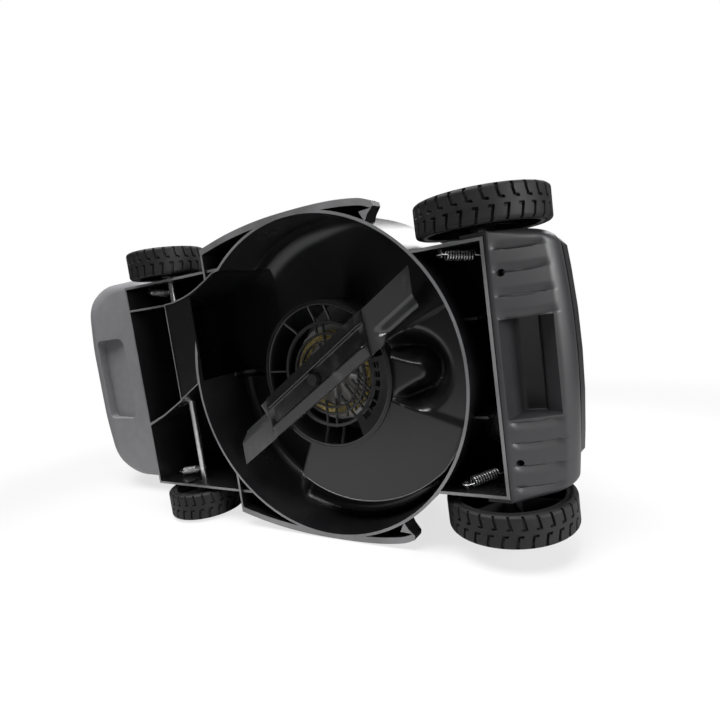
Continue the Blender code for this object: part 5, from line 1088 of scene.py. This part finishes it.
def make_winding(name, low, up, rows, node):
    """Winding overhang: bundles of enamelled wire laid round the stator, with tied bulges."""
    inner, outer = WINDING_R
    steps = 144
    rings = []
    for k in range(rows):
        share = (k + 0.5) / rows
        face = mix(inner, outer, share)
        crown = math.sin(math.pi * share) ** 0.6
        points = []
        for j in range(steps + 1):
            a = math.tau * j / steps
            bulge = 0.5 + 0.5 * math.sin(6.0 * a + 0.5 * math.sin(2.0 * a))
            weave = 0.0006 * math.sin(19.0 * a + 2.1 * k)
            r = face + weave
            z = low + up * (0.0022 + 0.0038 * crown * (0.45 + 0.55 * bulge) + 0.0003 * math.sin(31.0 * a + k))
            points.append((r * math.cos(a), r * math.sin(a), z))
        rings.append(points)
    verts = []
    faces = []
    sides = 6
    for points in rings:
        base = len(verts)
        for j in range(steps):
            a = math.tau * j / steps
            for m in range(sides):
                turn = math.tau * m / sides
                r = STRAND_R * math.cos(turn)
                x, y, z = points[j]
                verts.append((x + r * math.cos(a), y + r * math.sin(a), z + STRAND_R * math.sin(turn)))
        for j in range(steps):
            n = (j + 1) % steps
            faces += [[base + j * sides + m, base + n * sides + m, base + n * sides + (m + 1) % sides,
                       base + j * sides + (m + 1) % sides] for m in range(sides)]
    body = piece(name, verts, faces)
    flat = low + up * 0.0030
    core = [(inner, low), (outer, low), (outer - 0.0012, flat), (inner + 0.0012, flat)]
    solid = revolve("core", core, 96)
    joined = bmesh.new()
    joined.from_mesh(body.data)
    joined.from_mesh(solid.data)
    joined.to_mesh(body.data)
    joined.free()
    bpy.data.objects.remove(solid)
    return show(body, "chassis", "winding", [node], smooth=60.0)


# Wheels
TREAD_CUT = 0.0024
SHOULDER = 0.0042
SPOKES = 6
SPOKE_HALF = 0.0009
TREAD_GROOVES = {"front": 30, "rear": 26}
# Axle's x and height, radius, distance from the middle to the inner side, and width
WHEELS = {"front": (*FRONT_AXLE, 0.0622, 0.1258, 0.0312), "rear": (*REAR_AXLE, 0.0496, 0.1443, 0.0343)}


def tread(turn, w, width, count):
    """Depth of the tyre's two rows of bent grooves at an angle and a distance across the tread."""
    pitch = math.tau / count
    half_slot = 0.085 * pitch
    depth = 0.0
    share = w / width
    for row, shift in ((0, 0.0), (1, 0.5)):
        s = share if row == 0 else 1.0 - share
        if not 0.02 < s < 0.44:
            continue
        lean = 0.22 * (s / 0.44) if row == 0 else 0.30 * max(0.0, s / 0.44 - 0.45)
        phase = (turn / pitch + shift + lean) % 1.0
        off = min(phase, 1.0 - phase) * pitch
        if off < half_slot:
            depth = TREAD_CUT
        foot = (turn / pitch + shift + lean) % 1.0
        if 0.36 < s < 0.44 and (foot < 0.32 if row == 0 else foot > 0.68):
            depth = TREAD_CUT
    return depth


def make_tyre(end, side, hand):
    """Tyre with its grooves cut into the tread."""
    x, height, radius, track, width = WHEELS[end]
    rim = radius - TYRE_THICKNESS
    profile = [(rim, 0.0005), (rim + 0.002, 0.0)]
    for k in range(7):
        a = math.pi / 2 * k / 6
        profile.append((radius - SHOULDER + SHOULDER * math.sin(a), SHOULDER * (1.0 - math.cos(a)) * 0.9))
    steps = 26
    first, last = SHOULDER * 0.9, width - SHOULDER * 0.9
    profile += [(radius, mix(first, last, k / steps)) for k in range(1, steps)]
    for k in range(7):
        a = math.pi / 2 * k / 6
        profile.append((radius - SHOULDER + SHOULDER * math.cos(a), last + SHOULDER * math.sin(a) * 0.9))
    profile += [(rim + 0.002, width), (rim, width - 0.0005)]
    count = TREAD_GROOVES[end]

    def warp(turn, r, length):
        cut = tread(turn, length, width, count) if r > radius - 0.0030 else 0.0
        return r - cut, side * (track + length)

    tyre = revolve(f"{end}_{hand}_tread", profile, count * 24, "Y", (x, 0.0, height), warp)
    return show(tyre, f"{end}_{hand}_roller", "tyre_plastic", [f"{end}_{hand}_tyre"], smooth=40.0)


def make_wheel(end, side, hand):
    """Wheel: rim, web and hub on the inner side, and a spoked cap on the outer side."""
    x, height, radius, track, width = WHEELS[end]
    rim = radius - TYRE_THICKNESS - GAP
    web = width - 0.009
    bore = AXLE_R + BORE_GAP
    profile = [(rim, 0.0005), (rim, width - 0.0003), (rim - 0.0005, width), (rim - 0.0035, width),
               (rim - 0.004, web + WALL), (bore, web + WALL), (bore, 0.0006), (HUB_R - 0.001, 0.0006),
               (HUB_R, 0.0016), (HUB_R, web - 0.002), (HUB_R + 0.002, web), (rim - 0.006, web),
               (rim - 0.004, web - 0.002), (rim - 0.0036, 0.001), (rim - 0.0030, 0.0005)]
    profile = [(r, side * (track + w)) for r, w in profile]
    wheel = revolve(f"{end}_{hand}_hub", profile, 96, "Y", (x, 0.0, height))
    near, far = HUB_R - 0.001, rim - 0.003
    plan = ((near, -SPOKE_HALF), (far, -SPOKE_HALF), (far, SPOKE_HALF), (near, SPOKE_HALF))
    for k in range(SPOKES):
        turn = math.tau * (k + 0.5) / SPOKES
        mid = Vector((math.sin(turn), 0.0, math.cos(turn)))
        across = Vector((mid.z, 0.0, -mid.x))
        corners = [mid * a + across * b for a, b in plan]
        low, high = sorted((side * (track + 0.006), side * (track + web + 0.001)))
        rib = prism("rib", [(p.x + x, p.z + height) for p in corners], low, high, "Y")
        wheel = boolean(wheel, rib, "UNION")
    show(wheel, f"{end}_{hand}_roller", "black_plastic", [f"{end}_{hand}_wheel"])
    cap = rim - 0.004 - GAP
    low, high = width - 0.0025, width + 0.001
    dish = [(0.0, low), (cap, low), (cap, high - 0.0014), (cap - 0.0006, high - 0.0008),
            (cap - 0.004, high - 0.0008), (cap - 0.0046, high - 0.0016), (cap * 0.36, high - 0.0016),
            (cap * 0.34, high - 0.0004), (cap * 0.32, high), (0.0, high)]
    steps = []
    for (r0, w0), (r1, w1) in zip(dish, dish[1:]):
        parts = 10 if abs(r1 - r0) > 0.3 * cap and w1 < high else 1
        steps += [(mix(r0, r1, j / parts), mix(w0, w1, j / parts)) for j in range(parts)]
    steps.append(dish[-1])

    def spokes(turn, r, length):
        if cap * 0.37 < r < cap - 0.0045 and length > low + 0.0002:
            k = (turn / math.tau * SPOKES) % 1.0
            off = min(k, 1.0 - k)
            half = 0.13 * (cap * 0.37) / r
            length += 0.0012 * (smoothstep(half + 0.03, half, off) if off < half + 0.03 else 0.0)
        return r, side * (track + length)

    cover = revolve(f"{end}_{hand}_hubcap", steps, 180, "Y", (x, 0.0, height), spokes)
    show(cover, f"{end}_{hand}_roller", "grey_plastic", [f"{end}_{hand}_wheel_cap"])


def make_springs():
    """Four tension springs, hooked from a peg on the deck to the axle."""
    for end, curls in (("front", 10), ("rear", 9)):
        start_at, (x, height, hook_y) = SPRINGS[end]
        for side, hand in ((1, "left"), (-1, "right")):
            start = Vector((start_at[0], side * start_at[1], start_at[2]))
            reach = Vector((x, side * hook_y, height)) - start
            line = reach.normalized()
            flat = Vector((line.x, 0.0, line.z)).normalized()
            below = Vector((flat.z, 0.0, -flat.x))
            aside = line.cross(below)
            below = aside.cross(line)
            first, last = COIL_START, reach.length * COIL_END_SHARE
            peg_turn = SPRING_PEG_R + SPRING_WIRE_R + 2 * GAP
            axle_turn = AXLE_R + SPRING_WIRE_R + 2 * GAP
            points = []
            for turn in range(*PEG_HOOK):
                a = math.radians(turn)
                points.append(start + (flat * math.cos(a) - below * math.sin(a)) * peg_turn)
            points.append(start + line * (first - 0.001) + below * SPRING_COIL_R)
            count = curls * 20
            for k in range(count + 1):
                a = math.tau * k / 20
                centre = start + line * mix(first, last, k / count)
                points.append(centre + (below * math.cos(a) + aside * math.sin(a)) * SPRING_COIL_R)
            finish = start + reach
            for turn in range(*AXLE_HOOK):
                a = math.radians(turn)
                points.append(finish + (flat * math.cos(a) - below * math.sin(a)) * axle_turn)
            spring = wire(f"{end}_{hand}_coil", points, COIL_WIRE_R)
            spring.data.materials.append(LOOKS["bright_steel"])
            spring.data.shade_smooth()
            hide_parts(f"{end}_{hand}_spring")
            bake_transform(spring)


# Collector
COLLECTOR_FRONT_X = REAR_WALL_X - 0.0045
COLLECTOR_REAR_X = COLLECTOR_FRONT_X - 0.2725
COLLECTOR_OVERHANG = 0.091
COLLECTOR_FLOOR_HALF = 0.152
COLLECTOR_FLARE = 0.011
COLLECTOR_LOW_H = 0.058
COLLECTOR_SPLIT_H = 0.140
COLLECTOR_TOP_H = 0.230
COLLECTOR_WALL = 0.0025
COLLECTOR_SLOPE = 33.0
COLLECTOR_HALF = COLLECTOR_FLOOR_HALF + COLLECTOR_FLARE
FOOT_HEIGHT = 0.010          # the tub's round foot, how far it spreads backwards and to the sides
FOOT_BACK = 0.020
FOOT_FLARE = 0.005
KNEE_HALF = 0.034
SHOULDER_WIDTH = 0.030
GRIP_X = (-0.4745, -0.4050)
GRIP_Y = (-0.072, 0.059)
GRIP_DEPTH = 0.012


def rounded_outline(corners, steps=6):
    """Closed outline with round corners. A corner is its two coordinates and its radius."""
    loop = []
    count = len(corners)
    for k, (x, y, radius) in enumerate(corners):
        here = Vector((x, y))
        before = Vector(corners[k - 1][:2]) - here
        after = Vector(corners[(k + 1) % count][:2]) - here
        reach = min(radius, before.length * 0.48, after.length * 0.48)
        first, last = here + before.normalized() * reach, here + after.normalized() * reach
        for j in range(steps + 1):
            t = j / steps
            loop.append(tuple(first * (1.0 - t) ** 2 + here * (2.0 * t * (1.0 - t)) + last * t ** 2))
    return loop


def collector_outline(rear_x, half, inset=0.0):
    """Plan of the collector at one height, with a bowed rear wall and round corners."""
    front, rear, side = COLLECTOR_FRONT_X - inset, rear_x + inset, half - inset
    front_half = min(half, REAR_HALF) - inset
    half_plan = [(front, front_half, 0.003), (front - 0.050, side, 0.020), (rear + 0.060, side, 0.030),
                 (rear + 0.010, side - 0.026, 0.026), (rear, 0.060, 0.020)]
    return rounded_outline(half_plan + [(x, -y, r) for x, y, r in reversed(half_plan)])


def collector_ring(height, rear_x, half, inset):
    """The collector's plan as a ring at one height."""
    return [(x, y, height) for x, y in collector_outline(rear_x, half, inset)]


def make_tub():
    """The collector's tub: flared, with a round foot, a rolled rim, its mouth and a grip recess below."""
    low, split, wall = COLLECTOR_LOW_H, COLLECTOR_SPLIT_H, COLLECTOR_WALL
    rear, full = COLLECTOR_REAR_X, COLLECTOR_HALF
    floor_x = rear + COLLECTOR_OVERHANG
    levels = []
    foot = ((0.0, 0.0085), (0.0006, 0.0050), (0.0028, 0.0020), (0.0065, 0.0004), (FOOT_HEIGHT, 0.0))
    for up, inset in foot:
        t = up / FOOT_HEIGHT
        levels.append((low + up, floor_x - FOOT_BACK * t, COLLECTOR_FLOOR_HALF + FOOT_FLARE * t, inset))
    for k in range(1, 7):
        t = k / 6
        levels.append((mix(low + FOOT_HEIGHT, split - 0.012, t), mix(floor_x - FOOT_BACK, rear + 0.0050, t),
                       mix(COLLECTOR_FLOOR_HALF + FOOT_FLARE, full - 0.0022, t), 0.0))
    levels += [(split - 0.0112, rear + 0.0042, full - 0.0014, 0.0), (split - 0.0104, rear, full, 0.0006),
               (split - 0.0094, rear, full, 0.0), (split - 0.0006, rear, full, 0.0),
               (split, rear, full, 0.0006)]
    tub = loft("collector_bin", [collector_ring(*level) for level in levels])
    inside = [(low + wall, floor_x, COLLECTOR_FLOOR_HALF),
              (low + 0.012, floor_x - FOOT_BACK, COLLECTOR_FLOOR_HALF + 0.004),
              (split + 0.01, rear + 0.004, full - 0.002)]
    tub = boolean(tub, loft("space", [collector_ring(*level, wall) for level in inside]))
    mouth = box("mouth", (COLLECTOR_FRONT_X - 0.02, TUNNEL_RIGHT + WALL, TUNNEL_FLOOR_H + WALL),
                (COLLECTOR_FRONT_X + 0.02, TUNNEL_LEFT_REAR - WALL, TUNNEL_ROOF_REAR_H))
    tub = boolean(tub, mouth)
    for grow, operation in ((wall, "UNION"), (0.0, "DIFFERENCE")):
        (x0, x1), (y0, y1) = GRIP_X, GRIP_Y
        corners = [(x0 - grow, y0 - grow, 0.010), (x1 + grow, y0 - grow, 0.016),
                   (x1 + grow, y1 + grow, 0.016), (x0 - grow, y1 + grow, 0.010)]
        start = low + 0.0005 if grow else low - 0.01
        pan = prism("pan", rounded_outline(corners), start, low + 0.03)
        wedge = [(x0 - 0.01, start - 0.01), (x1 + 0.01, start - 0.01), (x1 + 0.01, low + 0.003 + grow),
                 (x0 + 0.020, low + GRIP_DEPTH + grow), (x0 - 0.01, low + GRIP_DEPTH + 0.001 + grow)]
        pan = boolean(pan, prism("wedge", wedge, -1.0, 1.0, "Y"), "INTERSECT")
        tub = boolean(tub, pan, operation)
    show(tub, "collector", "grey_plastic", ["collector_tub"], smooth=30.0)


def lid_top(x, y):
    """Height of the lid's top: a sloping front, a flat back and rounded shoulders."""
    split, slope = COLLECTOR_SPLIT_H, math.radians(COLLECTOR_SLOPE)
    knee = COLLECTOR_FRONT_X - (COLLECTOR_TOP_H - 0.012 - split) / math.tan(slope)
    ahead = split + max(0.0, COLLECTOR_FRONT_X - x) * math.tan(slope)
    flat = COLLECTOR_TOP_H - 0.020 * smoothstep(COLLECTOR_REAR_X + 0.035, COLLECTOR_REAR_X, x) ** 2
    top = min(ahead, flat) - 0.012 * max(0.0, 1.0 - abs(x - knee) / KNEE_HALF) ** 2
    shoulder = max(0.0, abs(y) - (COLLECTOR_HALF - SHOULDER_WIDTH)) / SHOULDER_WIDTH
    return max(split + 0.0022, top - 0.022 * (1.0 - math.sqrt(max(0.0, 1.0 - min(1.0, shoulder) ** 2))))


def make_lid():
    """The collector's lid, in rows that shrink from its rim to a point on its top."""
    low = COLLECTOR_SPLIT_H + GAP
    rim_line = collector_outline(COLLECTOR_REAR_X, COLLECTOR_HALF, 0.0004)
    centre = Vector((COLLECTOR_REAR_X + 0.12, 0.0))
    rows, count = 26, len(rim_line)
    verts = [(x, y, height) for height in (low, low + 0.0016) for x, y in rim_line]
    for row in range(rows):
        t = 1.0 - (row / rows) ** 1.5 if row else 1.0
        for x, y in rim_line:
            place = centre + (Vector((x, y)) - centre) * (t - 0.004 * (row == 0))
            verts.append((place.x, place.y, lid_top(place.x, place.y)))
    verts.append((centre.x, centre.y, lid_top(centre.x, centre.y)))
    faces = []
    for row in range(rows + 1):
        for k in range(count):
            a, b = row * count + k, row * count + (k + 1) % count
            faces.append([a, b, b + count, a + count])
    last = (rows + 1) * count
    faces += [[last + k, last + (k + 1) % count, len(verts) - 1] for k in range(count)]
    faces.append(list(range(count)))
    lid = piece("collector_cover", verts, faces)
    show(lid, "collector", "grey_plastic", ["collector_lid"], smooth=34.0)


def make_axles():
    """Two round axles with turned ends and formed heads."""
    for end, (x, height) in (("front", FRONT_AXLE), ("rear", REAR_AXLE)):
        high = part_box(f"{end}_axle")[1]
        head = high.y - OFFSET.y
        seat = head - AXLE_HEAD
        wide = AXLE_R + 0.002
        half = [(AXLE_R, 0.0), (AXLE_R, seat), (wide - 0.0004, seat), (wide, seat + 0.0004),
                (wide, head - 0.0009), (wide - 0.0008, head - 0.0003), (wide - 0.002, head), (0.0, head)]
        profile = [(r, -w) for r, w in reversed(half[1:])] + half[1:]
        bar = revolve(f"{end}_axle_bar_turned", profile, 40, "Y", (x, 0.0, height))
        show(bar, f"{end}_axle_bar", "bright_steel", [f"{end}_axle"])


def soften_edges():
    """Rounds the edges of the CAD nodes that still show."""
    widths = {"upper_cover": 0.0012, "collector_handle": 0.0020, "rear_flap": 0.0008,
              "handle_bracket_left": 0.0006, "handle_bracket_right": 0.0006, "switch_housing": 0.0020,
              "mains_inlet": 0.0008, "lock_button": 0.0008}
    for name, width in widths.items():
        trim = frame["nodes"][name].modifiers.new("edges", "BEVEL")
        trim.width = width
        trim.segments = 3
        trim.limit_method = "ANGLE"
        trim.angle_limit = math.radians(35.0)


make_deck()
make_edges()
make_bumper()
make_blade()
make_carrier()
make_grille()
make_winding("winding_strands", 0.0498, -1.0, 9, "lower_winding")
for end in ("front", "rear"):
    for side, hand in ((1, "left"), (-1, "right")):
        make_tyre(end, side, hand)
        make_wheel(end, side, hand)
make_springs()
make_axles()
make_tub()
make_lid()
soften_edges()


# Stage: the photograph's floor is on the mower's left, since the mower lies on that side
FLOOR_REACH = 4.0
FLOOR_SHARE = 0.72                       # of white, near the mower
FLOOR_NEAR, FLOOR_FAR = 0.45, 0.95       # where the share starts to grow and where all is white
FLOOR_TONE = 0.55                        # colour of the floor near the mower
WORLD_FILL = 0.09
LAMPS = [                                # name, place, size and power
    ("key", (-0.3, -2.3, -0.6), (2.2, 1.4), 128.0),
    ("front", (2.3, -0.6, -0.4), (0.8, 1.4), 62.0),
    ("top", (0.2, -1.3, 1.6), (1.2, 1.2), 26.0),
]


def stage_node(tree, kind, inputs):
    """Node with values or links put into its inputs, by name or number."""
    made = tree.nodes.new(kind)
    for socket, value in inputs.items():
        if isinstance(value, bpy.types.NodeSocket):
            tree.links.new(value, made.inputs[socket])
        else:
            made.inputs[socket].default_value = value
    return made


def white_for_camera(tree, shader_out, output, share, middle):
    """Mixes white over a shader for camera rays alone: a share of it near the mower, and all far off.

    The back of the face is clear, so that the mower shows through it.
    """
    rays = stage_node(tree, "ShaderNodeLightPath", {})
    place = stage_node(tree, "ShaderNodeNewGeometry", {})
    white = stage_node(tree, "ShaderNodeEmission", {"Strength": 1.0})
    clear = stage_node(tree, "ShaderNodeBsdfTransparent", {})
    away = stage_node(tree, "ShaderNodeVectorMath", {0: place.outputs["Position"], 1: middle})
    away.operation = "DISTANCE"
    far = stage_node(tree, "ShaderNodeMapRange", {"Value": away.outputs["Value"], "From Min": FLOOR_NEAR,
                                                  "From Max": FLOOR_FAR, "To Min": share, "To Max": 1.0})
    far.interpolation_type = "SMOOTHSTEP"
    tone = stage_node(tree, "ShaderNodeMapRange", {"Value": far.outputs["Result"], "From Min": share,
                                                   "From Max": 1.0, "To Min": FLOOR_TONE, "To Max": 0.05})
    tree.links.new(tone.outputs["Result"], tree.nodes["Principled BSDF"].inputs["Base Color"])
    amount = stage_node(tree, "ShaderNodeMath", {0: rays.outputs["Is Camera Ray"], 1: far.outputs["Result"]})
    amount.operation = "MULTIPLY"
    both = stage_node(tree, "ShaderNodeMixShader", {"Fac": amount.outputs["Value"], 1: shader_out,
                                                    2: white.outputs["Emission"]})
    seen = stage_node(tree, "ShaderNodeMixShader", {"Fac": place.outputs["Backfacing"],
                                                    1: both.outputs["Shader"], 2: clear.outputs["BSDF"]})
    tree.links.new(seen.outputs["Shader"], output.inputs["Surface"])


def make_stage():
    """Pale floor under the mower's left side, a white world and three soft lamps."""
    side_y = cad_box[1].y + 0.001
    mesh = bpy.data.meshes.new("floor")
    corners = [(a * FLOOR_REACH, side_y, b * FLOOR_REACH) for a, b in ((-1, -1), (1, -1), (1, 1), (-1, 1))]
    mesh.from_pydata(corners, [], [(0, 1, 2, 3)])
    floor = bpy.data.objects.new("floor", mesh)
    bpy.context.scene.collection.objects.link(floor)
    material = bpy.data.materials.new("floor")
    material.use_nodes = True
    tree = material.node_tree
    main = tree.nodes["Principled BSDF"]
    main.inputs["Roughness"].default_value = 0.7
    middle = (OFFSET.x, side_y, 0.05)
    white_for_camera(tree, main.outputs["BSDF"], tree.nodes["Material Output"], FLOOR_SHARE, middle)
    mesh.materials.append(material)

    world = bpy.data.worlds.new("studio")
    bpy.context.scene.world = world
    world.use_nodes = True
    tree = world.node_tree
    background = tree.nodes["Background"]
    background.inputs["Color"].default_value = (1.0, 1.0, 1.0, 1.0)
    rays = stage_node(tree, "ShaderNodeLightPath", {})
    shown = stage_node(tree, "ShaderNodeMath", {0: rays.outputs["Is Camera Ray"],
                                                1: rays.outputs["Is Transmission Ray"]})
    shown.operation = "MAXIMUM"
    strength = stage_node(tree, "ShaderNodeMapRange", {"Value": shown.outputs["Value"], "To Min": WORLD_FILL,
                                                       "To Max": 1.0})
    tree.links.new(strength.outputs["Result"], background.inputs["Strength"])

    middle = OFFSET + Vector((0.02, 0.0, 0.03))
    for name, spot, size, power in LAMPS:
        data = bpy.data.lights.new(name, "AREA")
        data.shape = "RECTANGLE"
        data.size, data.size_y = size
        data.energy = power
        lamp = bpy.data.objects.new(name, data)
        lamp.location = middle + Vector(spot)
        lamp.rotation_mode = "QUATERNION"
        lamp.rotation_quaternion = (middle - lamp.location).to_track_quat("-Z", "Y")
        bpy.context.scene.collection.objects.link(lamp)


make_stage()
